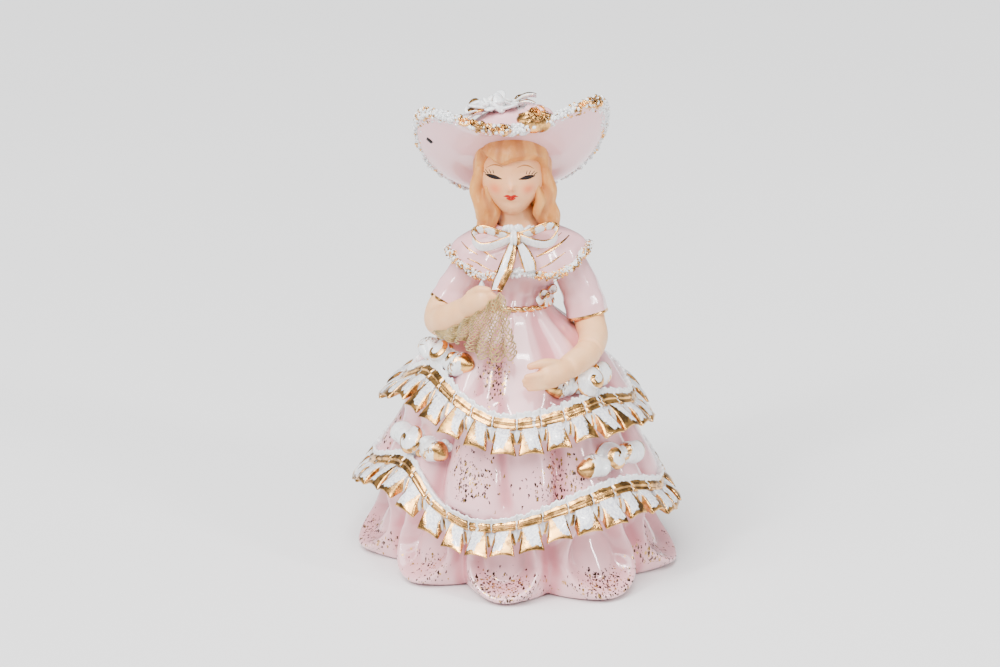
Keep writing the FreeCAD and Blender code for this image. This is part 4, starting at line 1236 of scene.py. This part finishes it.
def make_hair():
    """Cast hair: cap with a fringe, open round the face, and wavy side locks."""
    n = facing_sphere(110, 200).reshape(-1, 3)
    rise = np.clip(n[:, 2], 0, 1)
    fuller = (1 - rise ** 3.4) ** (1 / 3.4) / np.sqrt(np.maximum(1 - rise ** 2, 1e-4))
    half = np.stack([10.4 * fuller, 10.9 * fuller, 11.0 + 2.6 * rise], -1)
    half[:, 1] -= 1.2 * smooth(0.1, 0.6, n[:, 1])
    half[:, 1] += 1.1 * smooth(0.2, 0.8, -n[:, 1]) * bump((HAIR + n * half)[:, 2], 114.4, 2.6)
    points = HAIR + n * half
    x, z = points[:, 0], points[:, 2]
    fringe = np.interp(
        x, [-11, -9.3, -7.0, -4.4, -2.6, -1.2, 1.0, 4.8, 6.6, 9],
        [112.6, 113.6, 112.4, 111.2, 111.9, 112.9, 113.4, 113.2, 112.2, 110.5],
    )
    window = np.interp(z, [94, 98, 101, 105, 110, 113], [5.6, 6.3, 7.5, 8.7, 8.9, 8.2])
    middle = -1.25
    opening = smooth(0.35, -0.35, z - fringe) * smooth(0.3, -0.3, np.abs(x - middle) - window) * (n[:, 1] < -0.1)
    points = HAIR + n * half * (1 - 0.35 * opening)[:, None]
    parts = Parts()
    parts.add(points, grid_faces(110, 200))
    locks = [
        ([(-9.4, -2.6, 108), (-10.2, -2.4, 103), (-9.2, -2.6, 99), (-8.6, -1.6, 95), (-9.6, -1.0, 92.6)],
         [1.6, 2.2, 2.5, 2.4, 1.3]),
        ([(-7.8, -5.0, 104), (-7.4, -4.2, 100), (-6.2, -3.0, 97), (-6.8, -2.6, 93.6)], [0.9, 1.6, 2.2, 1.8]),
        ([(7.2, -2.6, 108), (8.4, -2.4, 103), (7.8, -2.4, 99), (9.4, -1.6, 95.4), (10.2, -0.8, 92.8)],
         [1.6, 2.3, 2.6, 2.6, 1.5]),
        ([(5.6, -5.0, 104), (6.4, -4.6, 100.4), (5.8, -4.0, 97.2), (6.8, -3.6, 94.6), (6.4, -3.2, 93)],
         [0.9, 1.5, 1.7, 1.5, 0.9]),
        ([(-8.4, 3, 104), (-8.8, 3.4, 98), (-8.0, 3.0, 94)], [2.6, 2.8, 2.0]),
        ([(7.2, 3, 104), (7.6, 3.4, 98), (7.2, 3.0, 94)], [2.6, 2.8, 2.0]),
        ([(-1, 6.6, 102), (-1, 7.4, 98.6), (-1, 7.0, 95.5)], [4.6, 5.2, 4.0]),
    ]
    for path, radii in locks:
        tube(parts, path, radii, 20)
    piece = grow_together(parts.piece("hair_form", LOOK["hair"]), 0.24, 4)
    place = points_of(piece)
    normals = np.zeros(len(place) * 3)
    piece.data.vertices.foreach_get("normal", normals)
    normals = normals.reshape(-1, 3)
    waves = hair_waves(place)
    flat = smooth(0.75, 0.3, np.abs(normals[:, 2]))
    set_points(piece, place + normals * (0.26 * waves * flat - 0.1)[:, None])
    set_values(piece, "groove", smooth(0.1, -0.9, waves))
    return finish_piece(piece, ["hair"])


# ---------------------------------------------------------------- hat flowers
def frame_at(centre, out, level=(1, 0, 0)):
    """A flower's own middle and directions from the way it faces."""
    out = unit(out)[0]
    level = np.asarray(level, float)
    level = unit(level - out * level.dot(out))[0]
    return np.asarray(centre, float), level, np.cross(out, level), out


def make_hat_rose():
    """Gilded rose: a grooved globe, gold below and pink above, with a rolled middle."""
    parts = Parts()
    centre, level, up, out = frame_at((4.8, -10.2, 123.9), (0.05, -0.75, 0.66))
    lat = np.linspace(0, np.pi, 60)[:, None]
    lon = full_turn(96)[None]
    groove = np.abs(np.sin(4.5 * lon + 1.6 * lat)) ** 0.6
    swell = 1 - 0.13 * (1 - groove) * np.sin(lat)
    across = 5.0 * swell * np.sin(lat) * np.cos(lon)
    rise = 4.0 * swell * np.sin(lat) * np.sin(lon)
    ahead = 3.1 * swell * np.cos(lat)
    grid = centre + across[..., None] * level + rise[..., None] * up + ahead[..., None] * out
    gold = np.clip(smooth(1.6, -0.4, rise) + 0.5 * (1 - groove), 0, 1)
    parts.add(grid.reshape(-1, 3), grid_faces(60, 96), gold=gold.ravel())
    middle = (centre + out * 0.3, level, up, out)
    for start, turns, reach, high in (
        (0.0, 1.5, (0.2, 1.2), (3.6, 3.4)), (1.5, 0.6, (1.5, 2.0), (3.2, 2.8)), (4.0, 0.6, (1.8, 2.4), (3.0, 2.5)),
    ):
        spiral_petal(parts, middle, start, turns, reach, 0.42, high, gold=0.9)
    return parts.finish("hat_gilt_rose", "gilt_pink", "gilt_porcelain", "hat_rose")


def make_hat_flower():
    """Heap of small white petals with gilt tips, and the leaves beside it."""
    parts = Parts()
    source = random.Random(31)
    for _ in range(44):
        x = source.uniform(-12.6, 1.6)
        y = source.uniform(-2.8, 4.4)
        heap = 1 - ((x + 5.0) / 9.5) ** 2
        centre = np.array([x, y, 122.9 + 3.6 * heap * source.random() ** 0.6])
        turn = Matrix.Rotation(source.uniform(0, 3.1), 3, "Z")
        turn = turn @ Matrix.Rotation(source.uniform(-1.1, 1.1), 3, "Y")
        half = (source.uniform(1.7, 2.9), source.uniform(1.2, 2.0), source.uniform(0.4, 0.75))
        ball(parts, centre, half, np.array(turn), 9, 12, gold=0.75 if source.random() < 0.1 else 0.0)
    parts.finish("hat_white_flower", "gilt", "white_porcelain", "hat_flower")
    leaves = Parts()
    for root, tip, width in (
        ((-1.0, 1.6, 125.2), (5.2, 1.6, 127.4), 3.4), ((-0.6, 0.2, 124.8), (4.9, -1.2, 125.6), 2.8),
        ((-0.8, 2.6, 124.6), (3.0, 5.4, 126.0), 2.8), ((-9.0, -2.0, 123.4), (-12.6, -4.0, 122.2), 2.0),
    ):
        root, tip = np.array(root), np.array(tip)
        along = tip - root
        side = unit(np.cross([0, 0, 1], along))[0]
        places = np.linspace(-1, 1, 9)
        rows_top, rows_low = [], []
        for share in np.linspace(0, 1, 13):
            wide = width * 0.5 * math.sin(math.pi * min(0.97, share * 0.93 + 0.05)) ** 0.7
            spine = root + along * share + np.array([0, 0, 0.9 * math.sin(math.pi * share)])
            top, low = [], []
            for across in places:
                rise = 0.35 * abs(across) - 0.25 * bump(across, 0, 0.2)
                place = spine + side * across * wide + np.array([0, 0, rise])
                top.append(place)
                low.append(place - np.array([0, 0, 0.5 * (1 - 0.7 * abs(across))]))
            rows_top.append(top)
            rows_low.append(low)
        gold = np.tile(0.95 * smooth(0.3, 0.75, np.abs(places)) + 0.7 * bump(places, 0, 0.12), 13)
        points, faces = shell(np.array(rows_top), np.array(rows_low), wrap=False)
        leaves.add(points, faces, gold=np.concatenate([gold, 0 * gold]))
    return leaves.finish("hat_gilt_leaves", "gilt", "white_porcelain", "hat_leaves")


# ---------------------------------------------------------------- bows
BOW = np.array([-0.4, -8.4, 91.4])


def ribbon(parts, path, facing, widths, thick, edge, crease=0.0, middle=0.0, closed=False, lining=(0.0, 0.0)):
    """A band of porcelain ribbon, gilt outside a share of its half width and where else it is asked."""
    path = np.asarray(path, float)
    count = len(path)
    facing = np.broadcast_to(np.asarray(facing, float), path.shape)
    if closed:
        along = unit(np.roll(path, -1, 0) - np.roll(path, 1, 0))
    else:
        along = unit(np.gradient(path, axis=0))
    side = unit(facing - along * (facing * along).sum(1, keepdims=True))
    normal = np.cross(along, side)
    widths = np.interp(np.linspace(0, 1, count), np.linspace(0, 1, len(widths)), widths)
    across = np.linspace(-1, 1, 11)
    dish = crease * (np.cos(across * math.pi) - 1) * 0.5
    section = [(a, 0.5 - 0.28 * abs(a) ** 6, d) for a, d in zip(across, dish)]
    section += [(a, -0.5 + 0.28 * abs(a) ** 6, d) for a, d in zip(across[::-1], dish[::-1])]
    grid = np.zeros((count, len(section), 3))
    gold = np.zeros((count, len(section)))
    for k, (a, rise, d) in enumerate(section):
        grid[:, k] = path + side * (a * widths / 2)[:, None] + normal * (rise * thick + d)
        wash = lining[k >= len(across)] * (0.75 + 0.5 * np.sin(0.9 * np.arange(count)))
        gold[:, k] = wash + max(float(smooth(edge, edge + 0.2, abs(a))), middle * float(bump(a, 0.4, 0.34)))
    faces = (ring_faces if closed else capped_faces)(count, len(section))
    parts.add(grid.reshape(-1, 3), faces, gold=gold.ravel())


def make_neck_bow():
    """Bow at the throat: two open loops, a knot and two tails."""
    turn = full_turn(72)
    for hand, side, lift, lining in (("right", -1, 0.1, (0.0, 0.5)), ("left", 1, 0.35, (0.5, 0.0))):
        parts = Parts()
        along = 0.5 - 0.5 * np.cos(turn)
        across = side * (0.5 + 10.4 * along)
        open_by = 2.9 * np.sin(turn) * (0.16 + 1.05 * along ** 1.3)
        back = 0.35 * open_by - 0.5 - 1.2 * along * (1 - along) * 2 + 1.6 * along ** 2
        rise = open_by + lift + 1.1 * along ** 2 * (side > 0) - 0.3 * along
        path = BOW + np.stack([across, back, rise], -1)
        ribbon(parts, path, (0, -0.34, 0.94), [2.6, 2.6], 0.8, 0.76, closed=True, lining=lining)
        parts.finish(f"bow_loop_{hand}", "gilt", "gilt_porcelain", f"bow_{hand}_loop")
    parts = Parts()
    ball(parts, BOW + np.array([-0.2, -0.4, -0.1]), (1.45, 1.5, 1.95), rings=18, sides=24, gold=0.0)
    source = random.Random(17)
    for step in range(12):
        spot = (-3.0 + 0.65 * step, -7.0 - 1.6 * bump(step, 5.5, 3.2), 93.3 + source.uniform(-0.5, 0.6))
        turn = Matrix.Rotation(source.uniform(-0.9, 0.9), 3, "Y")
        half = (source.uniform(0.5, 0.9), 0.9, source.uniform(1.0, 1.6))
        ball(parts, spot, half, np.array(turn), 9, 12, gold=0.0)
    for shift in (-0.75, 0.05, 0.8):
        fold = [[shift, -0.8, 1.8], [shift * 1.2, -1.9, 0.6], [shift * 1.1, -1.95, -0.7], [shift, -1.0, -2.0]]
        path = BOW + np.array(fold)
        tube(parts, path, [0.3, 0.5, 0.5, 0.3], 10, gold=0.75 if shift > 0.5 else 0.0)
    parts.finish("bow_middle", "gilt", "gilt_porcelain", "bow_knot")
    long_path = [
        (-0.9, -9.6, 90.2), (-2.0, -11.8, 87.0), (-3.2, -13.6, 84.0), (-4.6, -16.6, 81.8), (-5.4, -19.2, 80.4),
    ]
    short_path = [(0.9, -9.8, 90.0), (2.2, -10.8, 87.6), (3.2, -11.8, 85.2), (3.6, -12.2, 83.4)]
    for kind, path, count, facing, widths, edge, crease, middle in (
        ("long", long_path, 30, (1, 0.1, 0.2), [2.2, 3.4, 3.8, 3.6, 3.0], 0.62, 0.35, 0.9),
        ("short", short_path, 22, (1, 0.1, 0.35), [2.2, 3.4, 3.9, 3.4], 0.6, 0.3, 0.0),
    ):
        tail = Parts()
        ribbon(tail, spline_through(path, count), facing, widths, 0.8, edge, crease, middle)
        tail.finish(f"ribbon_tail_{kind}", "gilt", "gilt_porcelain", f"ribbon_{kind}_tail")


def make_waist_bow():
    """Small bow pressed on the waist."""
    centre = np.array([8.0, -6.3, 75.0])
    facing = math.radians(60)
    lean = np.array([math.cos(facing), math.sin(facing), 0])
    out = np.array([math.sin(facing), -math.cos(facing), 0])
    up = np.array([0, 0, 1])
    turn = full_turn(40)
    parts = Parts()
    for side in (-1, 1):
        along = 0.5 - 0.5 * np.cos(turn)
        rise = 1.7 * np.sin(turn) * (0.4 + 0.6 * along)
        path = centre + lean * (side * 4.0 * along)[:, None] + np.outer(rise, up)
        ribbon(parts, path, 0.35 * out + 0.94 * up, [2.0, 2.0], 0.6, 0.7, closed=True)
        steps = (0.3, 1, 2, 2.7)
        fall = centre + np.array([lean * side * 0.5 * k - 1.1 * k * up + out * 0.2 * k for k in steps])
        ribbon(parts, spline_through(fall, 14), lean, [0.9, 1.7, 2.0, 1.6], 0.5, 0.7)
    ball(parts, centre + out * 0.2, (0.8, 0.8, 0.9), gold=0.8)
    return parts.finish("waist_ribbon", "gilt", "white_porcelain", "waist_bow")


# ---------------------------------------------------------------- arms
SLEEVES = {
    "right": [(-9.5, 1.5, 86.0, 4.6), (-12.2, 1.4, 81.0, 4.9), (-15.4, 0.8, 75.8, 5.1), (-18.6, -0.4, 70.4, 5.3)],
    "left": [(11.0, 1.5, 86.4, 4.7), (14.6, 1.2, 80.0, 5.2), (17.6, 0.6, 73.4, 5.6), (19.3, -0.6, 67.2, 5.9)],
}


def make_sleeve(side):
    """Short sleeve, hollow at its cuff, with soft folds and a gilt edge."""
    stations = np.array(SLEEVES[side])
    rows = spline_through(stations, 60)
    path, radii = rows[:, :3], rows[:, 3]
    _, level, up = tube_frame(path)
    turn = full_turn(96)
    share = np.linspace(0, 1, 60)[:, None]
    fold = 0.16 * np.cos(7 * turn[None] + 2.0 * share) * smooth(0.3, 1.0, share)
    fold = fold + 0.14 * np.sin(22 * share + 2.2 * np.cos(turn[None])) * bump(share, 0.75, 0.2)
    grids = []
    for inset in (0.0, 0.9):
        radius = radii[:, None] - inset + fold - 0.25
        grids.append(path[:, None] + radius[:, :, None] * (
            level[:, None] * np.cos(turn)[None, :, None] + up[:, None] * np.sin(turn)[None, :, None]))
    points, faces = shell(*grids)
    gold = smooth(0.945, 0.97, share) + 0 * turn[None]
    values = {"gold": np.tile(gold.ravel(), 2)}
    piece = new_piece(f"{side}_sleeve_form", points, faces, LOOK["gilt_pink"], values)
    return finish_piece(piece, [f"{side}_sleeve"])


# for each side: arm path and radii, wrist path and radii, finger path and radii,
# each finger's rise and reach, thumb path and radii, middle and width of the blush on the finger tips
FOREARMS = {
    "right": (
        ([(-18.9, -0.6, 71.2), (-20.2, -2.4, 69.0), (-20.2, -6.4, 67.8), (-17.6, -12.0, 70.2),
          (-13.6, -16.2, 73.8)], [4.2, 4.2, 4.3, 4.0, 3.5]),
        ([(-13.6, -16.2, 73.8), (-11.0, -18.6, 76.6), (-8.6, -20.4, 78.4)], [3.0, 3.4, 3.0]),
        ([(-10.5, -19.8, 77.8), (-7.6, -21.6, 78.4), (-5.0, -22.6, 77.6)], [1.1, 1.05, 0.8]),
        ((1.9, -0.6), (0.75, 0.4), (-0.5, 0.3), (-1.7, -0.7)),
        ([(-12.0, -18.6, 79.0), (-9.8, -20.8, 81.0), (-7.4, -21.8, 81.2)], [1.3, 1.2, 0.9]),
        (-5.2, 2.2),
    ),
    "left": (
        ([(19.3, -0.6, 68.0), (20.0, -3.0, 65.6), (20.6, -7.4, 63.4), (18.6, -15.4, 61.7),
          (14.0, -22.4, 60.6)], [4.3, 4.1, 3.9, 3.6, 3.3]),
        ([(14.0, -22.4, 60.6), (10.8, -25.6, 60.0), (8.0, -27.6, 59.8)], [2.8, 3.2, 3.0]),
        ([(10.0, -27.2, 59.6), (6.0, -29.6, 59.5), (2.4, -30.8, 59.4)], [1.15, 1.1, 0.8]),
        ((1.2, 0.2), (0.1, -0.4), (-1.0, -0.1), (-2.0, 0.8)),
        ([(10.8, -25.6, 62.2), (7.2, -27.6, 63.2), (3.4, -29.0, 62.8)], [1.4, 1.3, 0.95]),
        (3, 2.4),
    ),
}


def make_forearms():
    """Bare forearms with mitten hands, fingers marked by shallow grooves."""
    for side, (arm, wrist, (finger, girth), places, thumb, (tip, wide)) in FOREARMS.items():
        parts = Parts()
        tube(parts, *arm, 30)
        tube(parts, *wrist, 26)
        for rise, reach in places:
            path = [(x, y, z + rise) for x, y, z in finger]
            path[-1] = (finger[-1][0] + reach, path[-1][1], path[-1][2])
            tube(parts, path, girth, 16)
        tube(parts, *thumb, 16)
        piece = grow_together(parts.piece(f"{side}_arm_form", LOOK["flesh"]), 0.22, 12)
        x, y, _ = points_of(piece).T
        set_values(piece, "blush", 0.35 * bump(x, tip, wide) * (y < -18))
        finish_piece(piece, [f"{side}_forearm"])


# ---------------------------------------------------------------- flower sprays
SPRAYS = {
    "upper_right": (-62, 59.4), "upper_left": (44, 55.4),
    "lower_right": (-57, 37.6), "lower_left": (46, 35.6),
}


def swirl_lump(parts, centre, axes, half, turns, groove, gold, start, point=0.0):
    """A lump of slip with one spiral groove, gilt on its ridge and tip, drawn out to a point if asked."""
    lat = np.linspace(0, np.pi, 46)[:, None]
    lon = full_turn(64)[None]
    wind = np.cos(lon - turns * 2 * np.pi * (lat / np.pi) + start)
    swell = (1 + groove * (wind * np.sin(lat) ** 0.5)) * np.sin(lat)
    along = np.cos(lat) * (1 + point * np.abs(np.cos(lat)) ** 3) + 0 * lon
    points = np.stack([along, swell * np.cos(lon), swell * np.sin(lon)], -1) * half
    points = points.reshape(-1, 3) @ np.array(axes)
    level = np.clip(gold[0] * smooth(0.15, 0.9, wind) + gold[1] * smooth(0.35, 0.8, np.cos(lat)), 0, 1)
    parts.add(points + centre, grid_faces(46, 64), gold=level.ravel())


def make_spray(name, angle, height, seed):
    """Rosette between two pointed buds on a pad of slip."""
    source = random.Random(seed)
    ground = float(skirt_radius(np.array(angle), np.array(height)))
    spread = math.degrees(6.9 / ground)
    level, up, out = skirt_frame(angle, height)
    rose = Parts()
    globe, middle = on_skirt(angle, height, 1.5), on_skirt(angle, height, 2.0)
    swirl_lump(rose, globe, [out, level, up], (3.4, 3.9, 3.7), 2.4, 0.17, (0.62, 0.2), seed)
    swirl_lump(rose, middle, [out, up, level], (3.0, 1.8, 1.8), 1.4, 0.16, (0.8, 0.5), seed + 2)
    rose.finish(f"{name}_rose", "gilt", "gilt_porcelain", f"{name}_rosette")
    buds = Parts()
    for side in (-1, 1):
        place = angle + side * spread
        bud_level, _, bud_out = skirt_frame(place, height)
        tilt = Matrix.Rotation(math.radians(source.uniform(-14, 14)), 3, Vector(bud_out))
        axis = np.array(tilt @ Vector(bud_level * side))
        across = np.cross(bud_out, axis)
        axes = [axis, across, bud_out]
        middle = on_skirt(place, height - 0.4, 1.4)
        swirl_lump(buds, middle, axes, (4.5, 3.2, 3.0), 1.6, 0.13, (0.5, 1.0), source.uniform(0, 6), 0.16)
        calyx = middle - axis * 1.8 + across * 0.9
        swirl_lump(buds, calyx, axes, (2.7, 2.0, 2.9), 1.3, 0.14, (0.6, 0.0), source.uniform(0, 6))
    buds.finish(f"{name}_rolled_buds", "gilt", "gilt_porcelain", f"{name}_buds")
    slip = Parts()
    for step in range(26):
        share = step / 12.5 - 1
        place = angle + share * spread * 1.35
        lie = height - 0.2 + source.uniform(-2.6, 2.4) * (1 - 0.55 * abs(share))
        axes = np.array(skirt_frame(place, lie))
        half = (source.uniform(1.2, 2.0), source.uniform(0.9, 1.4), source.uniform(0.7, 1.1))
        gold = 0.9 if source.random() < 0.2 else 0.0
        ball(slip, on_skirt(place, lie, 0.3), half, axes.T, 9, 12, gold=gold)
    return slip.finish(f"{name}_slip", "gilt", "white_porcelain", f"{name}_pad")


# ---------------------------------------------------------------- lace kerchief
def make_lace():
    """Piece of cotton net held in the hand: gathered below it and trailing under the forearm."""
    cell = 1.15
    width, length = 26.0, 18.0
    across_count = int(width / cell)
    row_pitch = cell * 0.866  # of a hexagonal mesh
    down_count = int(length / row_pitch)
    work = bmesh.new()
    seen = {}

    def vertex(x, y):
        key = (round(x * 50), round(y * 50))
        if key not in seen:
            seen[key] = work.verts.new((x, y, 0))
        return seen[key]

    source = random.Random(3)
    side = cell / math.sqrt(3)
    for row in range(down_count):
        for column in range(across_count):
            middle_x = (column + 0.5 * (row % 2)) * cell
            middle_y = row * row_pitch
            edge = row > down_count - 4 + 1.5 * math.sin(1.3 * column) or column in (0, across_count - 1)
            if source.random() < 0.42 and edge:
                continue
            turns = [math.radians(60 * k) for k in range(6)]
            corners = [(middle_x + side * math.sin(t), middle_y + side * math.cos(t)) for t in turns]
            work.faces.new([vertex(*corner) for corner in corners])
    flat = np.array([tuple(v.co) for v in work.verts])
    u = flat[:, 0] / width
    v = flat[:, 1] / length
    # the top edge lies along the forearm from the elbow to the fingers
    top = spline_through([
        (-21.5, -12.0, 67.2), (-17.0, -16.6, 69.4), (-12.5, -20.2, 73.0), (-8.4, -22.6, 76.6), (-5.0, -23.8, 79.8),
        (-2.0, -24.0, 80.2),
    ], 60)
    low = spline_through([
        (-22.4, -10.0, 66.0), (-18.5, -17.0, 65.6), (-14.0, -21.0, 65.6), (-9.6, -24.6, 63.6), (-4.0, -26.6, 63.4),
        (0.8, -26.4, 64.6),
    ], 60)
    mix = np.linspace(0, 1, 60)
    upper, lower = (np.stack([np.interp(u, mix, edge[:, k]) for k in range(3)]) for edge in (top, low))
    place = (upper * (1 - v) + lower * v).T
    gather = np.sin(u * 2 * np.pi * 7.5 + 0.8 * np.sin(9 * v)) * (0.5 + 0.7 * v) * smooth(0.0, 0.3, u)
    place[:, 1] += 1.0 * gather
    place[:, 0] += 0.35 * np.cos(u * 2 * np.pi * 7.5) * v
    place[:, 2] += 0.4 * np.sin(u * 40)
    place += np.array([[source.uniform(-0.06, 0.06) for _ in range(3)] for _ in flat])
    for vert, spot in zip(work.verts, place):
        vert.co = Vector(spot) * MM
    mesh = bpy.data.meshes.new("kerchief_net")
    work.to_mesh(mesh)
    work.free()
    piece = bpy.data.objects.new("kerchief_net", mesh)
    bpy.context.scene.collection.objects.link(piece)
    mesh.materials.append(LOOK["net"])
    modify(piece, "WIREFRAME", thickness=0.52 * MM, use_replace=True, use_boundary=True, use_even_offset=False)
    settle(piece)
    return finish_piece(piece, ["lace_kerchief"])


# ---------------------------------------------------------------- hanger and clapper
BAR_HEIGHT, BAR_RADIUS = 60, 1.5
RING_RADIUS, EYE_RADIUS, CURL_RADIUS = 3.2, 1.6, 1.3
WIRE_RADIUS, RUNNING_GAP = 0.45, 0.05
BEAD_HEIGHT, BEAD_RADIUS, BEAD_BORE = 25, 7.5, 0.8


def closed_wire(parts, points):
    """A closed round of wire."""
    parts.add(*ring_tube(points, points - points.mean(0), WIRE_RADIUS, 12))


def make_clapper():
    """Bar, ring, wire with a twist below its eye, and glazed bead."""
    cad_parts["hanger_bar"].data.materials.clear()
    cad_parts["hanger_bar"].data.materials.append(LOOK["raw"])
    turn = full_turn(90)
    ring_middle = BAR_HEIGHT + BAR_RADIUS + RUNNING_GAP + WIRE_RADIUS - RING_RADIUS
    eye_middle = ring_middle - RING_RADIUS + 2 * WIRE_RADIUS + RUNNING_GAP - EYE_RADIUS
    curl_middle = BEAD_HEIGHT - BEAD_RADIUS - WIRE_RADIUS - CURL_RADIUS
    ring = Parts()
    across, rise = RING_RADIUS * np.cos(turn), RING_RADIUS * np.sin(turn)
    closed_wire(ring, np.stack([0 * turn, across, ring_middle + rise], -1))
    ring.finish("swing_ring", "wire", "wire", "hanger_ring", body="hanger_ring")
    shank = Parts()
    for radius, middle in ((EYE_RADIUS, eye_middle), (CURL_RADIUS, curl_middle)):
        closed_wire(shank, np.stack([radius * np.cos(turn), 0 * turn, middle + radius * np.sin(turn)], -1))
    heights = (eye_middle - EYE_RADIUS, 40, curl_middle + CURL_RADIUS)
    tube(shank, [(0, 0, height) for height in heights], [WIRE_RADIUS] * 3)
    wind = np.linspace(0, 2 * np.pi * 3.5, 120)
    twist = np.stack([0.72 * np.cos(wind), 0.72 * np.sin(wind), eye_middle - 2.1 - wind * 0.13], -1)
    shank.add(*tube_parts(twist, np.full(120, 0.3), 10))
    shank.finish("twisted_wire", "wire", "wire", "clapper_wire", body="clapper")
    lat = np.linspace(0.11, np.pi - 0.11, 70)[:, None]
    lon = full_turn(96)[None]
    radius = BEAD_RADIUS - 0.08 + 0.05 * np.cos(5 * lon + 3 * lat) * np.sin(lat)
    height = BEAD_HEIGHT + radius * np.cos(lat)
    outer = np.stack([radius * np.sin(lat) * np.cos(lon), radius * np.sin(lat) * np.sin(lon), height], -1)
    inner = np.stack([BEAD_BORE * np.cos(lon) + 0 * lat, BEAD_BORE * np.sin(lon) + 0 * lat, height], -1)
    bead = new_piece("glazed_bead", *shell(outer, inner), LOOK["bead"])
    return finish_piece(bead, ["clapper_bead"], "clapper")


# ---------------------------------------------------------------- the whole figure
make_skirt()
for ruffle in (("upper", UPPER_SWAG, 30, 20), ("lower", LOWER_SWAG, 36, 40)):
    make_ruffle_pleats(*ruffle)
    make_ruffle_band(*ruffle)
make_bodice()
make_waist_cord()
make_collar()
make_collar_trim()
make_hat()
make_hat_trim()
make_hat_rose()
make_hat_flower()
make_face_paint(make_head())
make_hair()
make_neck_bow()
make_waist_bow()
make_sleeve("right")
make_sleeve("left")
make_forearms()
for seed, (name, (angle, height)) in enumerate(SPRAYS.items()):
    make_spray(name, angle, height, 60 + seed)
make_lace()
make_clapper()


# ---------------------------------------------------------------- floor, light and camera
# place in metres, power in watts, width and height of the lamp in metres
LAMPS = {
    "key": ((-0.50, -0.50, 0.62), 4.2, 0.06, 0.32),
    "fill": ((0.62, -0.42, 0.48), 3.2, 0.05, 0.30),
    "top": ((0.05, -0.30, 0.95), 1.6, 0.10, 0.10),
}
LAMP_AIM = Vector((0, 0, 0.06))
CAMERA_LENS, CAMERA_SENSOR = 85, 36
CAMERA_PITCH = math.radians(19)
CAMERA_DISTANCE = 0.642
CAMERA_AIM = Vector((-4.35, 4.0, 60.5)) * MM


def look_at(thing, target):
    """Turn a lamp or a camera towards a point."""
    thing.rotation_euler = (target - thing.location).to_track_quat("-Z", "Y").to_euler()


def make_studio():
    """Pale floor and backdrop, soft light and the camera."""
    scene = bpy.context.scene
    bpy.ops.mesh.primitive_plane_add(size=6)
    floor = bpy.context.object
    floor.name = "floor"
    floor.data.materials.append(pale_floor())
    world = bpy.data.worlds.new("studio")
    world.use_nodes = True
    background = world.node_tree.nodes["Background"].inputs
    background["Color"].default_value = (0.80, 0.81, 0.83, 1)
    background["Strength"].default_value = 0.48
    scene.world = world
    for name, (place, power, width, tall) in LAMPS.items():
        lamp = bpy.data.lights.new(name, "AREA")
        lamp.energy = power
        lamp.shape = "RECTANGLE"
        lamp.size = width
        lamp.size_y = tall
        light = bpy.data.objects.new(name, lamp)
        light.location = place
        look_at(light, LAMP_AIM)
        scene.collection.objects.link(light)
    sky = bpy.data.lights.new("softbox", "SUN")
    sky.energy = 6.6
    sky.angle = math.radians(60)
    light = bpy.data.objects.new("softbox", sky)
    light.rotation_euler = (math.radians(22), math.radians(-14), 0)
    scene.collection.objects.link(light)
    lens = bpy.data.cameras.new("camera")
    lens.lens = CAMERA_LENS
    lens.sensor_width = CAMERA_SENSOR
    camera = bpy.data.objects.new("camera", lens)
    backwards = Vector((0, -math.cos(CAMERA_PITCH), math.sin(CAMERA_PITCH)))
    camera.location = CAMERA_AIM + backwards * CAMERA_DISTANCE
    look_at(camera, CAMERA_AIM)
    scene.collection.objects.link(camera)
    scene.camera = camera


make_studio()
bpy.context.view_layer.update()
